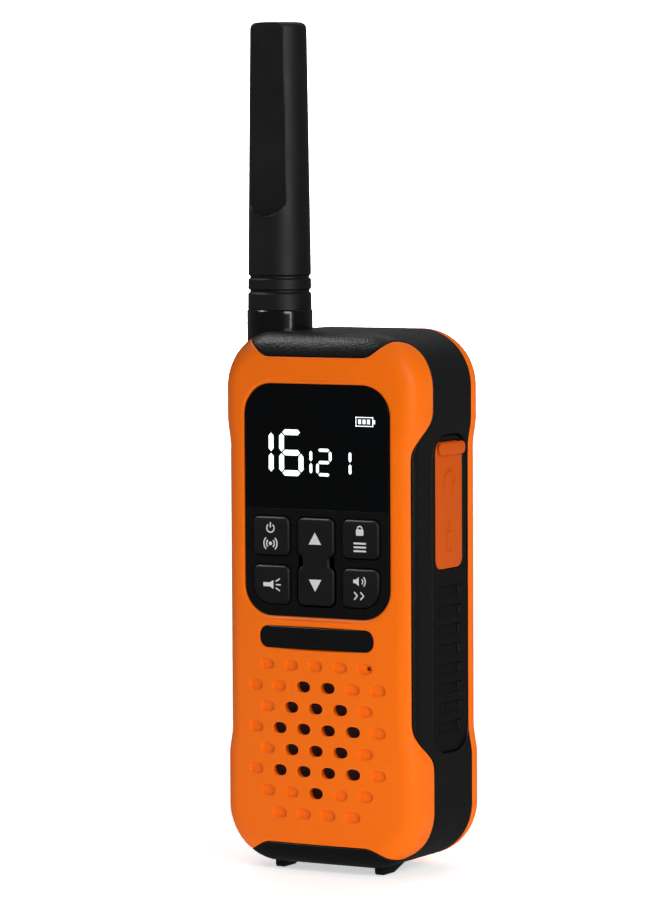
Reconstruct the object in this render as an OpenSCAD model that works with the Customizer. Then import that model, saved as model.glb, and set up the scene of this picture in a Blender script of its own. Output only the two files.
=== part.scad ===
// Hand-held two way radio: orange front and back shells on a black frame, a paddle antenna at
// one corner, a display window over six keys, a side flap over two sockets, a talk button,
// a sliding battery door and a sprung belt clip.
// X runs across the face, Y from the face to the back, Z up from the feet.
// Depths are given from the plane of the display window, and place() turns them into Y.

/* [Body] */
// Width of the body at its widest
body_w = 49.4; // [47.6:0.2:60]
// Height of the body without its feet and antenna
body_h = 119.4; // [118:0.2:144]
// Depth of the body from the crown of its face to its back
body_d = 33.8; // [33:0.2:42]
// Radius of the four corners of the body seen from the front
corner_r = 12.8; // [11:0.2:15]
// Width of the roll along the sides of the face
edge_side = 4; // [3:0.1:5]
// Height of the roll along the top and bottom of the face
edge_top = 5.5; // [4.5:0.1:6]
// Depth of the rolls at the face and at the back
edge_depth = 5; // [4:0.1:6]
// Radius of the crown across the face
crown_r = 180; // [140:5:260]
// How far the crown stands in front of the window
crown_h = 1; // [0.8:0.1:1.2]
// How far the waist is drawn in on each side
waist_inset = 0.85; // [0.5:0.05:1.2]
// Thickness of the shell at the top, bottom and back
wall = 2; // [1.6:0.1:2.4]
// Thickness of the frame's side wall at the waist
side_wall = 2.55; // [2.4:0.05:3]
// Width of the shut lines between the shells
shut_gap = 0.15; // [0.1:0.05:0.3]
// Height of the two feet
foot_h = 1.75; // [1.2:0.05:2.4]
// Distance of each foot from the middle
foot_x = 12.8; // [10:0.2:15]
// Depth of the parting line round the corners
ear_depth = 9.2; // [8.6:0.1:9.6]
// Depth of the parting line along the waist
waist_parting = 1.85; // [1.7:0.05:2.4]
// Depth at which the back shell starts
back_parting = 27; // [26.6:0.1:27.4]

/* [Window and keys] */
// Width of the black panel in the face
panel_w = 36.9; // [34:0.1:38]
// Height of the black panel in the face
panel_h = 52; // [52:0.1:54]
// Distance from the top of the body to the panel
panel_drop = 11.6; // [11:0.1:13]
// Corner radius of the panel
panel_r = 6.9; // [5:0.1:8]
// Height of the glossy display lens in the panel
lens_h = 28; // [27:0.1:28.6]
// Thickness of the lens and of the key bezel
lens_t = 1; // [0.8:0.05:1.1]
// Width of a key
key_w = 9.3; // [8.4:0.1:9.8]
// Height of a key
key_h = 8.6; // [7.8:0.1:9]
// Distance between the key columns
key_pitch_x = 11.45; // [11.3:0.05:11.8]
// Distance between the key rows
key_pitch_z = 10.9; // [10.6:0.1:11.2]
// How far a key stands in front of the bezel
key_proud = 0.7; // [0.4:0.05:0.9]
// Travel of a key
key_travel = 0.6; // [0.4:0.05:0.6]
// Gap round a key
key_gap = 0.2; // [0.15:0.01:0.3]
// Width of the name plate
plate_w = 29.2; // [24:0.2:32]
// Height of the name plate
plate_h = 5; // [4:0.1:5.4]

/* [Speaker and microphone] */
// Outer radius of the loudspeaker
speaker_r = 18; // [15:0.1:18.4]
// Height of the middle of the loudspeaker above the feet
speaker_z = 30.1; // [29:0.1:31]
// Distance between holes of the grille along a row
grille_pitch_x = 6.25; // [5.8:0.05:6.4]
// Distance between the rows of the grille
grille_pitch_z = 4.75; // [4.4:0.05:4.9]
// Width of a hole in the grille
hole_w = 3.6; // [2.8:0.1:4]
// Height of a hole in the grille
hole_h = 2.6; // [2:0.1:2.8]

/* [Antenna] */
// Height of the antenna above the body
antenna_h = 68.85; // [55:0.05:90]
// Distance of the antenna's axis from the middle
antenna_x = 16.3; // [15.6:0.1:16.6]
// Depth of the antenna's axis
antenna_d = 12.3; // [12:0.1:13.4]
// Radius of the glossy collar
collar_r = 7.4; // [6.8:0.05:7.6]
// Height of the collar above the body
collar_h = 4.4; // [3.6:0.1:7]
// Radius of the sleeve at its foot
sleeve_r = 7.2; // [6.6:0.05:7.5]
// Radius of the sleeve at its tip
tip_r = 6.35; // [5.8:0.05:6.6]
// Distance of the flat faces of the sleeve from its axis
flat_at = 5; // [4.8:0.05:5.4]

/* [Side parts] */
// Depth at which the side grips start
grip_d0 = 10.3; // [9.9:0.1:11]
// Thickness of a side grip
grip_t = 1; // [0.8:0.05:1.2]
// Depth at which the socket flap starts
flap_d0 = 12.2; // [11.8:0.1:12.8]
// Width of the socket flap along the depth
flap_w = 12.3; // [11.6:0.1:12.8]
// Height of the socket flap
flap_h = 28.4; // [26:0.2:30]
// Distance from the top of the body to the flap
flap_drop = 24.7; // [24.2:0.1:26]
// How far the flap opens, in degrees
flap_open = 110; // [60:5:120]
// Travel of the talk button
talk_travel = 1; // [0.6:0.1:1.2]
// Distance between the ribs of a grip
rib_pitch = 4.35; // [4:0.05:4.4]

/* [Back] */
// Height of the battery door
door_h = 60; // [58:0.5:62]
// Width of the battery door
door_w = 35; // [34:0.2:36]
// How far the battery door slides to come free
door_slide = 3; // [2:0.5:4]
// Gap between the back and the belt clip
clip_gap = 4.6; // [4.4:0.1:7]
// Thickness of the belt clip
clip_t = 2.4; // [2:0.1:3]
// Width of the belt clip
clip_w = 19; // [16:0.5:24]
// Length of the belt clip below its pin
clip_l = 56; // [40:1:60]
// Radius of the belt clip's pin
pin_r = 1.25; // [1:0.05:1.4]
// How far the belt clip opens, in degrees
clip_open = 12; // [6:1:14]

/* [Hidden] */
$fn = 48;

orange = "#EE6A0C";
black = "#1B1D1E";
soft_black = "#26282A";
steel = "#B9BCC0";
brass = "#C9A553";
board_green = "#1E5B3A";

side_x = body_w / 2;
top_z = foot_h + body_h;
back_d = body_d - crown_h;
clip_out = clip_gap + clip_t;
window_y = crown_h - (body_d + clip_out) / 2;
cut = 1;
face_d = -crown_h - 2 * cut;

cavity_x = side_x - waist_inset - side_wall;
cavity_r = corner_r - side_wall;
cavity_d0 = 1.6;
cavity_d1 = back_d - wall;
cavity_z0 = foot_h + wall + 0.5;
cavity_z1 = top_z - wall;
waist_x = side_x - waist_inset;

waist_top = top_z - 19.4;
waist_bottom = foot_h + 23.4;
waist_ramp = 6.9;
ear_top = top_z - 1.9;
ear_bottom = foot_h + 2.5;
ear_x = 19.4;
valley_x = 12.2;
valley_top = top_z - 5.6;
valley_bottom = foot_h + 4.9;

panel_z1 = top_z - panel_drop;
panel_z0 = panel_z1 - panel_h;
lens_z0 = panel_z1 - lens_h;
ledge = 1.6;
key_z1 = panel_z0 + 17.9;
key_z0 = key_z1 - key_pitch_z;
plate_z = panel_z0 - 4.7;
plate_seat = 0.4;

// Which of the seven bars of each figure are lit, in the order top, upper right, lower right,
// bottom, lower left, upper left, middle
lit_bars = [[0, 1, 1, 0, 0, 0, 0], [1, 0, 1, 1, 1, 1, 1], [0, 1, 1, 0, 0, 0, 0],
    [1, 1, 0, 1, 1, 0, 1], [0, 1, 1, 0, 0, 0, 0]];
digit_h = 10;
small_h = 6.3;
digit_base = panel_z1 - 20.7;
lcd_d0 = 1.35;
lcd_t = 1.7;

// Each row of the grille: how many places it has, and how many of them are open holes
grille_rows = [[5, 0], [6, 2], [5, 3], [6, 4], [5, 3], [6, 4], [5, 1], [4, 0]];
grille_top = speaker_z + 3.5 * grille_pitch_z;

mic_x = 2 * grille_pitch_x + 0.6;
lamp_r = 4.5;
lamp_d = 16;

board_d0 = 5;
board_t = 1.4;
board_x = cavity_x - 0.6;
board_z0 = speaker_z + 13.9;
board_z1 = panel_z1 - 1.5;
screw_x = 18.7;
screw_heights = [board_z0 + 12, board_z1 - 26];
mat_d0 = cavity_d0 + key_travel;
mat_t = 0.8;

case_screw_x = 17.4;
case_screw_z1 = top_z - 20.5;
case_foot_x = 14.6;
case_foot_z = foot_h + 6.6;
boss_r = 3.6;

shelf_z1 = top_z - 9;
shelf_t = 2.5;
stem_r = 4;
collar_z1 = top_z + collar_h;
sleeve_z1 = top_z + antenna_h;
stem_z0 = shelf_z1 - shelf_t - 4;
contact_z = stem_z0 - 0.5;
pin_top = contact_z + 18;
coil_turns = 12;
coil_r = 3.1;
coil_wire = 0.4;
coil_pitch = 3;

recess_x = waist_x - 1.2;
grip_d1 = back_parting - 0.3;
grip_z1 = waist_top - 3.8;
grip_z0 = waist_bottom + 1.7;
grip_r = 6;
flap_z1 = top_z - flap_drop;
flap_z0 = flap_z1 - flap_h;
flap_d1 = flap_d0 + flap_w;
flap_mid = (flap_d0 + flap_d1) / 2;
flap_x0 = recess_x - 0.35;
flap_x1 = waist_x + 0.2;
flap_gap = 0.25;
jack_z = flap_z1 - 9.3;
usb_z = flap_z1 - 21.4;
jack_r = 1.3;
port_x = cavity_x - 13.5;
socket_x1 = cavity_x - 0.2;
talk_x = cavity_x - 0.1;
talk_nub = talk_x - 1.5;

cell_r = 5.2;
cell_l = 44.5;
cell_pitch = 10.9;
tray_wall = 1.2;
tray_x = cell_pitch + cell_r + 0.2 + tray_wall;
tray_z0 = foot_h + 10.6;
tray_z1 = tray_z0 + cell_l + 5.2 + 2 * tray_wall;
tray_d1 = cavity_d1 - 1.4;
tray_d0 = tray_d1 - 2 * cell_r - 0.6 - tray_wall;
cell_d = tray_d1 - cell_r - 0.3;
cell_z0 = tray_z0 + tray_wall + 1;
door_z1 = foot_h + door_h;
rail_heights = [20, 45];
rail_t = 1;

pin_z = top_z - 24;
pin_d = back_d + clip_gap - 0.9;
ear_t = 2;
knuckle_w = clip_w - 2 * ear_t - 0.6;
spring_w = 5;

// ---- helpers ----

// Turns depths behind the window plane into Y
module place() {
    translate([0, window_y, 0]) children();
}

// Extrudes an outline drawn in X and Z from one depth to another
module plate(d0, d1) {
    translate([0, window_y + d1, 0])
        rotate([90, 0, 0])
            linear_extrude(d1 - d0) children();
}

// Extrudes an outline drawn in depth and Z from one X to another
module across(x0, x1) {
    translate([x0, window_y, 0])
        rotate([90, 0, 90])
            linear_extrude(x1 - x0) children();
}

// A cylinder along the depth
module barrel(x, z, r, d0, d1) {
    plate(d0, d1) translate([x, z]) circle(r);
}

// A cylinder across the body
module rod(d, z, r, x0, x1) {
    across(x0, x1) translate([d, z]) circle(r);
}

// A box from its lowest to its highest corner: X, depth and Z
module block(x0, x1, d0, d1, z0, z1) {
    place() translate([x0, d0, z0]) cube([x1 - x0, d1 - d0, z1 - z0]);
}

// A rectangle with round corners between two corner points
module round_rect(x0, x1, z0, z1, r) {
    translate([x0 + r, z0]) square([x1 - x0 - 2 * r, z1 - z0]);
    translate([x0, z0 + r]) square([x1 - x0, z1 - z0 - 2 * r]);
    for (x = [x0 + r, x1 - r], z = [z0 + r, z1 - r])
        translate([x, z]) circle(r);
}

function arc(cx, cz, rx, rz, a0, a1, n) =
    [for (i = [0:n]) let (a = a0 + (a1 - a0) * i / n) [cx + rx * cos(a), cz + rz * sin(a)]];

function smooth(t) = t * t * (3 - 2 * t);

// Half-width of the body at a height: full at the ends, drawn in at the waist
function waist_at(z) =
    let (up = (z - waist_bottom) / waist_ramp, down = (waist_top - z) / waist_ramp)
    waist_inset * smooth(max(0, min(1, up))) * smooth(max(0, min(1, down)));

// Right-hand side of the outline from the bottom corner to the top corner
function side_heights() =
    concat(
        [for (i = [0:5]) waist_bottom + waist_ramp * i / 5],
        [for (i = [0:5]) waist_top - waist_ramp + waist_ramp * i / 5]
    );

// The body's outline from the front, drawn in by es at the sides and et at the ends
function body_ring(es, et) =
    let (
        rx = corner_r - es,
        rz = corner_r - et,
        cx = side_x - corner_r,
        c0 = foot_h + corner_r,
        c1 = top_z - corner_r,
        right = [for (z = side_heights()) [side_x - es - waist_at(z), z]],
        left = [for (i = [len(right) - 1:-1:0]) [-right[i][0], right[i][1]]]
    )
    concat(
        arc(cx, c0, rx, rz, -90, 0, 8), right,
        arc(cx, c1, rx, rz, 0, 90, 8),
        arc(-cx, c1, rx, rz, 90, 180, 8), left,
        arc(-cx, c0, rx, rz, 180, 270, 8)
    );

// Share of a quarter-round roll that is left to travel at t from 0 to 1 of its depth
function roll(t) = 1 - sqrt(1 - pow(1 - t, 2));

function roll_steps() = [for (i = [0:5]) 1 - cos(90 * i / 5)];

// A closed skin through rings of equally many points, each ring at its own depth
module skin(rings, depths) {
    n = len(rings[0]);
    m = len(rings);
    pts = [for (j = [0:m - 1], p = rings[j]) [p[0], depths[j], p[1]]];
    walls = [for (j = [0:m - 2], i = [0:n - 1])
        [j * n + i, j * n + (i + 1) % n, (j + 1) * n + (i + 1) % n, (j + 1) * n + i]];
    front = [for (i = [n - 1:-1:0]) i];
    back = [for (i = [0:n - 1]) (m - 1) * n + i];
    place() polyhedron(concat(pts), concat(walls, [front], [back]));
}

// The outer form of the body, longer than it at the face and at the back, where others trim it
module body_skin() {
    face_ring = body_ring(edge_side, edge_top);
    tail_ring = body_ring(edge_side, edge_side);
    front_depths = [for (t = roll_steps()) -crown_h + edge_depth * t];
    back_depths = [for (i = [5:-1:0]) back_d - edge_depth * roll_steps()[i]];
    front_rings = [for (t = roll_steps()) body_ring(edge_side * roll(t), edge_top * roll(t))];
    back_rings = [for (i = [5:-1:0]) let (t = roll_steps()[i])
        body_ring(edge_side * roll(t), edge_side * roll(t))];
    skin(concat([face_ring], front_rings, back_rings, [tail_ring]),
        concat([-crown_h - cut], front_depths, back_depths, [back_d + cut]));
}

// The whole outer form of the body, crowned across its face
module body_form() {
    intersection() {
        body_skin();
        crown(0);
    }
}

// The great cylinder whose front is the crown of the face, set back by g
module crown(g) {
    place() translate([0, crown_r - crown_h + g, 0]) cylinder(r = crown_r, h = 2 * top_z, $fn = 600);
}

// The room inside the shells
module cavity() {
    plate(cavity_d0, cavity_d1)
        round_rect(-cavity_x, cavity_x, cavity_z0, cavity_z1, cavity_r);
}

// Side view of the front shell: deep round the corners, shallow along the waist
module ear_profile(g) {
    low = waist_bottom;
    high = waist_top;
    d1 = ear_depth + g;
    d0 = waist_parting + g;
    polygon(concat(
        [[-crown_h - cut, ear_bottom - g]],
        [[4, ear_bottom - g]],
        arc(d1 - 4, ear_bottom + 4, 4, 4 + g, -70, 0, 5),
        [[d1, low - 0.6 + g], [d1 - 0.9, low + 1.4 + g], [d0 + 1.2, low + 5.4 + g], [d0, low + 8 + g]],
        [[d0, high - 7.3 - g], [d0 + 1.2, high - 4.8 - g], [d1 - 0.9, high - 0.8 - g], [d1, high + 1.2 - g]],
        arc(d1 - 4, ear_top - 4, 4, 4 + g, 0, 70, 5),
        [[4, ear_top + g]],
        [[-crown_h - cut, ear_top + g]]
    ));
}

// Front view of the front shell: the frame dips into it at the top and bottom
module valley_profile(g) {
    n = 8;
    rise = [for (i = [0:n]) [valley_x + (ear_x - valley_x) * i / n, smooth(i / n)]];
    upper = [for (p = rise) [p[0], valley_top + g + (ear_top + 0.3 - valley_top) * p[1]]];
    lower = [for (p = rise) [p[0], valley_bottom - g - (valley_bottom - ear_bottom + 0.3) * p[1]]];
    right = concat(lower, [[side_x + cut, lower[n][1] - cut], [side_x + cut, upper[n][1] + cut]],
        [for (i = [n:-1:0]) upper[i]]);
    left = [for (i = [len(right) - 1:-1:0]) [-right[i][0], right[i][1]]];
    polygon(concat(right, left));
}

// The space of the front shell, grown by g
module front_zone(g) {
    intersection() {
        across(-side_x - cut, side_x + cut) ear_profile(g);
        plate(-crown_h - cut, ear_depth + g + cut) valley_profile(g);
    }
}

// The places of the screws that hold the case together
module at_case_screws() {
    for (s = [-1, 1]) {
        translate([s * case_screw_x, case_screw_z1]) children();
        translate([s * case_foot_x, case_foot_z]) children();
    }
}

// The bosses for those screws, each with a web to the nearest wall
module boss_outline() {
    at_case_screws() circle(boss_r);
    for (s = [-1, 1]) {
        translate([s * (case_screw_x + 2), case_screw_z1]) square([4, 3], center = true);
        translate([s * case_foot_x, case_foot_z - 2.5]) square([3, 5], center = true);
    }
}

// The antenna's collar and its way through the shells
module antenna_bore(g) {
    place() translate([-antenna_x, antenna_d, shelf_z1]) cylinder(r = collar_r + g, h = 30);
}

// The outline of a side grip, grown by g
module grip_outline(g) {
    round_rect(grip_d0 - g, grip_d1 + g, grip_z0 - g, grip_z1 + g, grip_r);
}

// The outline of the socket flap, and of the talk button on the other side, grown by g
module flap_outline(g) {
    round_rect(flap_d0 - g, flap_d1 + g, flap_z0 - g, flap_z1 + g, 2.4);
}

// ---- case ----

module front_shell() {
    color(orange)
    difference() {
        intersection() {
            body_form();
            front_zone(0);
        }
        cavity();
        panel_recess();
        plate(face_d, plate_seat)
            round_rect(-plate_w / 2, plate_w / 2, plate_z - plate_h / 2, plate_z + plate_h / 2,
                plate_h / 2 - 0.3);
        grille_holes();
        barrel(mic_x, grille_top, 0.5, face_d, cavity_d0 + cut);
        antenna_bore(0.05);
    }
    color(orange)
    for (s = [-1, 1], z = screw_heights)
        difference() {
            barrel(s * screw_x, z, 1.7, cavity_d0 - 0.3, board_d0);
            barrel(s * screw_x, z, 0.8, cavity_d0 + 0.8, board_d0 + cut);
        }
}

// The recess for the black panel, with an opening behind the lens and one behind the keys
module panel_recess() {
    x = panel_w / 2;
    plate(face_d, lens_t) round_rect(-x, x, panel_z0, panel_z1, panel_r);
    plate(0, cavity_d0 + cut) round_rect(-x + ledge, x - ledge, lens_z0 + 2.2, panel_z1 - ledge - 1, 0.9);
    plate(0, cavity_d0 + cut) round_rect(-x + ledge, x - ledge, panel_z0 + ledge, lens_z0 - 1, 2.3);
}

// The open holes of the grille, in rows of five and six that step sideways
module grille_holes() {
    for (row = [0:len(grille_rows) - 1]) {
        open = grille_rows[row][1];
        z = grille_top - row * grille_pitch_z;
        if (open > 0)
            for (i = [0:open - 1])
                plate(face_d, cavity_d0 + cut)
                    translate([(i - (open - 1) / 2) * grille_pitch_x, z])
                        oval(hole_w, hole_h);
    }
}

module oval(w, h) {
    square([w - h, h], center = true);
    for (s = [-1, 1]) translate([s * (w - h) / 2, 0]) circle(h / 2);
}

module mid_frame() {
    color(black)
    difference() {
        union() {
            difference() {
                intersection() {
                    body_form();
                    plate(-crown_h - cut, back_parting)
                        translate([-side_x - cut, 0]) square([body_w + 2 * cut, top_z + cut]);
                }
                front_zone(shut_gap);
                cavity();
            }
            plate(ear_depth + 1, back_parting) intersection() {
                boss_outline();
                round_rect(-cavity_x - 0.5, cavity_x + 0.5, cavity_z0 - 0.5, cavity_z1, cavity_r);
            }
            antenna_shelf();
            feet();
        }
        plate(ear_depth + 2, back_parting + cut) at_case_screws() circle(1.05);
        antenna_bore(0.05);
        place() translate([-antenna_x, antenna_d, shelf_z1 - shelf_t - cut])
            cylinder(r = stem_r + 0.1, h = shelf_t + 2 * cut);
        seal_groove();
        for (s = [-1, 1])
            mirror([s < 0 ? 1 : 0, 0, 0])
                across(recess_x, side_x + cut) grip_outline(0.1);
        across(flap_x0, side_x) flap_outline(flap_gap);
        across(-side_x, -cavity_x + cut) flap_outline(flap_gap);
        rod(flap_mid, jack_z, 3.4, cavity_x - cut, side_x);
        across(cavity_x - cut, side_x) translate([flap_mid, usb_z]) rotate(90) oval(9.6, 4.1);
        lamp_bore(0.05);
    }
}

// The shelf that the antenna's collar stands on, inside the corner
module antenna_shelf() {
    intersection() {
        block(-side_x, -antenna_x + collar_r + 2, board_d0 + 2.2, antenna_d + collar_r + 1,
            shelf_z1 - shelf_t, shelf_z1);
        plate(0, back_d) round_rect(-cavity_x - 0.5, cavity_x, cavity_z0, cavity_z1, cavity_r);
    }
}

// Two nubs under the front of the body, rising towards the back
module feet() {
    foot_d0 = 5;
    foot_w = 2.6;
    for (s = [-1, 1])
        across(s * foot_x - foot_w / 2, s * foot_x + foot_w / 2)
            polygon([[foot_d0 + 0.4, 0], [foot_d0 + 5, 0], [foot_d0 + 10, foot_h - 0.1],
                [foot_d0 + 10, foot_h + 1.2], [foot_d0, foot_h + 1.2], [foot_d0, 0.5]]);
}

module lamp_bore(g) {
    place() translate([0, lamp_d, foot_h - cut]) cylinder(r = lamp_r + g, h = wall + 0.5 + 2 * cut);
}

module seal_groove() {
    plate(back_parting - 0.8, back_parting + cut) seal_outline(0);
}

module seal_outline(g) {
    inner = 0.45 + g;
    outer = 1.2 - g;
    difference() {
        round_rect(-cavity_x - outer, cavity_x + outer, cavity_z0 - outer, cavity_z1 + outer, cavity_r + outer);
        round_rect(-cavity_x - inner, cavity_x + inner, cavity_z0 - inner, cavity_z1 + inner, cavity_r + inner);
    }
}

module case_seal() {
    color(soft_black) plate(back_parting - 0.8, back_parting + shut_gap) seal_outline(0.05);
}

module back_shell() {
    head_d = back_d - 1.1;
    color(orange)
    difference() {
        intersection() {
            body_skin();
            plate(back_parting + shut_gap, back_d)
                translate([-side_x - cut, 0]) square([body_w + 2 * cut, top_z + cut]);
        }
        cavity();
        plate(back_parting, back_d + cut) translate([-door_w / 2 - shut_gap, 0])
            square([door_w + 2 * shut_gap, door_z1 + shut_gap]);
        plate(back_parting, back_d + cut) at_case_screws() circle(1.3);
        plate(head_d, back_d + cut) at_case_screws() circle(2.5);
    }
}

module case_screws() {
    head_d = back_d - 1.1;
    color(steel) {
        plate(head_d, head_d + 0.9) for (s = [-1, 1])
            translate([s * case_screw_x, case_screw_z1]) screw_head(2.3);
        plate(ear_depth + 6, head_d) for (s = [-1, 1])
            translate([s * case_screw_x, case_screw_z1]) circle(1);
        plate(back_parting, back_parting + 1.2) for (s = [-1, 1])
            translate([s * case_foot_x, case_foot_z]) screw_head(2);
        plate(ear_depth + 6, back_parting) for (s = [-1, 1])
            translate([s * case_foot_x, case_foot_z]) circle(1);
    }
}

// A round head with a cross-shaped drive
module screw_head(r) {
    difference() {
        circle(r);
        square([r * 1.2, r * 0.28], center = true);
        square([r * 0.28, r * 1.2], center = true);
    }
}

// ---- face ----

module display_lens() {
    color("#0A0C0E") plate(0, lens_t) difference() {
        round_rect(-panel_w / 2 + 0.08, panel_w / 2 - 0.08, panel_z0, panel_z1 - 0.08, panel_r);
        translate([-panel_w, panel_z0 - cut]) square([2 * panel_w, lens_z0 + 0.04 - panel_z0 + cut]);
    }
}

module key_bezel() {
    color(black) plate(0, lens_t) difference() {
        round_rect(-panel_w / 2 + 0.08, panel_w / 2 - 0.08, panel_z0 + 0.08, panel_z1, panel_r);
        translate([-panel_w, lens_z0 - 0.04]) square([2 * panel_w, panel_h]);
        for (i = [0:3]) key_outline(i, key_gap);
        rocker_outline(key_gap + 0.06);
    }
}

// Outline of one of the four corner keys, grown by g: 0 call, 1 menu, 2 lamp, 3 scan
module key_outline(i, g) {
    x = (i % 2 == 0 ? -1 : 1) * key_pitch_x;
    z = i < 2 ? key_z1 : key_z0;
    w = key_w / 2 + g;
    h = key_h / 2 + g;
    rim = 2.3 - g;
    intersection() {
        round_rect(x - w, x + w, z - h, z + h, 1.6);
        round_rect(-panel_w / 2 + rim, panel_w / 2 - rim, panel_z0 + rim, panel_z1, panel_r - rim);
    }
}

module rocker_outline(g) {
    w = key_w / 2 + g;
    h = key_h / 2 + g;
    for (z = [key_z0, key_z1]) translate([0, z]) round_rect(-w, w, -h, h, 1.6);
    translate([-3.4 - g, key_z0]) square([6.8 + 2 * g, key_pitch_z]);
}

module key_cap(i) {
    color(soft_black) {
        plate(-key_proud, lens_t + 0.05) key_outline(i, 0);
        plate(lens_t + 0.05, cavity_d0 - 0.05) key_outline(i, 0.45);
    }
}

module call_key() { key_cap(0); }

module menu_key() { key_cap(1); }

module lamp_key() { key_cap(2); }

module scan_key() { key_cap(3); }

module channel_rocker() {
    color(soft_black) {
        plate(-key_proud, cavity_d0 - 0.2) rocker_outline(0);
        rocker_fulcrum();
    }
}

// The ridge across the back of the rocker that it tilts on
module rocker_fulcrum() {
    z = (key_z0 + key_z1) / 2;
    rod(mat_d0 - 0.45, z, 0.4, -3, 3);
}

module name_plate() {
    inset = 0.12;
    color("#101214") intersection() {
        plate(-crown_h, plate_seat) round_rect(-plate_w / 2 + inset, plate_w / 2 - inset,
            plate_z - plate_h / 2 + inset, plate_z + plate_h / 2 - inset, plate_h / 2 - 0.4);
        crown(0.15);
    }
}

module lcd_panel() {
    color("#05070A") plate(lcd_d0, lcd_d0 + lcd_t) lcd_outline(0);
}

module lcd_outline(g) {
    w = panel_w / 2 - ledge - 0.3 - g;
    translate([-w, lens_z0 + 2.5 + g]) square([2 * w, lens_h - 2.8 - ledge - 1 - 2 * g]);
}

module backlight() {
    color("#E8ECEF") plate(lcd_d0 + lcd_t, board_d0) lcd_outline(0.3);
}

module display_segments() {
    color("white") plate(lcd_d0 - 0.2, lcd_d0) {
        digit(0, -16.4, digit_base, 5.4, digit_h, 1.5);
        digit(1, -9.9, digit_base, 6.4, digit_h, 1.5);
        digit(2, -4.9, digit_base + 0.2, 3.8, small_h, 0.9);
        digit(3, -0.4, digit_base + 0.2, 4, small_h, 0.9);
        digit(4, 4.7, digit_base + 0.2, 4, small_h, 0.9);
        battery_icon(9.7, panel_z1 - 9.1);
    }
}

// One seven-bar figure: its lit bars, its lower left corner, its size and its stroke
module digit(i, x, z, w, h, t) {
    lit = lit_bars[i];
    v = (h - t) / 2;
    bars = [
        [x + w / 2, z + h - t / 2, 0, w - 1.1 * t], [x + w - t / 2, z + h - t / 2 - v / 2, 90, v - 0.12 * t],
        [x + w - t / 2, z + t / 2 + v / 2, 90, v - 0.12 * t], [x + w / 2, z + t / 2, 0, w - 1.1 * t],
        [x + t / 2, z + t / 2 + v / 2, 90, v - 0.12 * t], [x + t / 2, z + h - t / 2 - v / 2, 90, v - 0.12 * t],
        [x + w / 2, z + h / 2, 0, w - 1.1 * t]
    ];
    for (k = [0:6])
        if (lit[k] == 1)
            translate([bars[k][0], bars[k][1]]) rotate(bars[k][2]) bar(bars[k][3], t * 0.8);
}

// A bar with pointed ends
module bar(l, t) {
    polygon([[-l / 2, 0], [-l / 2 + t / 2, t / 2], [l / 2 - t / 2, t / 2],
        [l / 2, 0], [l / 2 - t / 2, -t / 2], [-l / 2 + t / 2, -t / 2]]);
}

module battery_icon(x, z) {
    w = 4.4;
    h = 2.1;
    line = 0.25;
    difference() {
        translate([x, z]) square([w, h]);
        translate([x + line, z + line]) square([w - 2 * line, h - 2 * line]);
    }
    for (i = [0:2]) translate([x + 0.55 + i * 1.2, z + 0.5]) square([0.85, h - 1]);
    translate([x + w, z + 0.6]) square([0.5, h - 1.2]);
}

module key_mat() {
    color("#3A3D40") {
        plate(mat_d0, mat_d0 + mat_t) round_rect(-panel_w / 2 + ledge, panel_w / 2 - ledge,
            panel_z0 + ledge, lens_z0 + 0.2, 3);
        plate(mat_d0 + mat_t, board_d0 - 1.1) at_switches() circle(1.5);
    }
}

module at_switches() {
    for (s = [-1, 0, 1], z = [key_z0, key_z1]) translate([s * key_pitch_x, z]) children();
}

module key_switches() {
    color(steel) plate(board_d0 - 1.1, board_d0) at_switches() circle(2.2);
}

module main_board() {
    color(board_green) plate(board_d0, board_d0 + board_t) difference() {
        round_rect(-board_x, board_x, board_z0, board_z1, 2);
        translate([0, speaker_z]) circle(speaker_r + 1);
        for (s = [-1, 1], z = screw_heights) translate([s * screw_x, z]) circle(0.95);
        translate([mic_x, grille_top]) circle(2.8);
    }
}

module board_screws() {
    color(steel) for (s = [-1, 1], z = screw_heights) {
        barrel(s * screw_x, z, 0.78, cavity_d0 + 1.2, board_d0 + board_t);
        plate(board_d0 + board_t, board_d0 + board_t + 1) translate([s * screw_x, z]) screw_head(1.6);
    }
}

module shield_can() {
    z1 = board_z1 - 4;
    d0 = board_d0 + board_t;
    color(steel) difference() {
        block(-7, 9, d0, d0 + 2.6, z1 - 17, z1);
        block(-6.7, 8.7, d0 - cut, d0 + 2.3, z1 - 16.7, z1 - 0.3);
    }
}

module board_headers() {
    d0 = board_d0 + board_t;
    color("#202326") {
        block(port_x - 3.4, port_x, d0, flap_d0 + 3, usb_z - 5, usb_z + 5);
        block(-port_x, -port_x + 3.4, d0, flap_d0 + 3, usb_z - 5, usb_z + 5);
    }
}

// ---- sound ----

module speaker_turn() {
    place() translate([0, 0, speaker_z]) rotate([-90, 0, 0]) rotate_extrude($fn = 96) children();
}

module speaker_basket() {
    color(steel) speaker_turn() polygon([[speaker_r - 2.4, 2], [speaker_r, 2], [speaker_r, 4.2],
        [speaker_r - 5, 4.6], [9.2, 7.2], [9.2, 6.2], [speaker_r - 5.4, 3.6], [speaker_r - 2.4, 3.4]]);
}

module speaker_cone() {
    color("#2A2C2F") speaker_turn() polygon([[0, 3.6], [4, 4], [5.5, 5.2], [speaker_r - 5.2, 2.9],
        [speaker_r - 3.8, 2.3], [speaker_r - 2.45, 2.6], [speaker_r - 2.45, 2.9], [speaker_r - 3.8, 2.6],
        [speaker_r - 5.2, 3.2], [5.5, 5.5], [3.8, 4.3], [0, 3.9]]);
}

module speaker_magnet() {
    color("#8F9296") speaker_turn() polygon([[6.2, 6.1], [9.1, 6.1], [9.1, 7.2], [8.6, 9.4], [0, 9.4], [0, 7.8],
        [6.2, 7.8]]);
}

module speaker_gauze() {
    color("#1C1C1E") barrel(0, speaker_z, speaker_r - 1.4, cavity_d0, cavity_d0 + 0.3);
}

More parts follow.
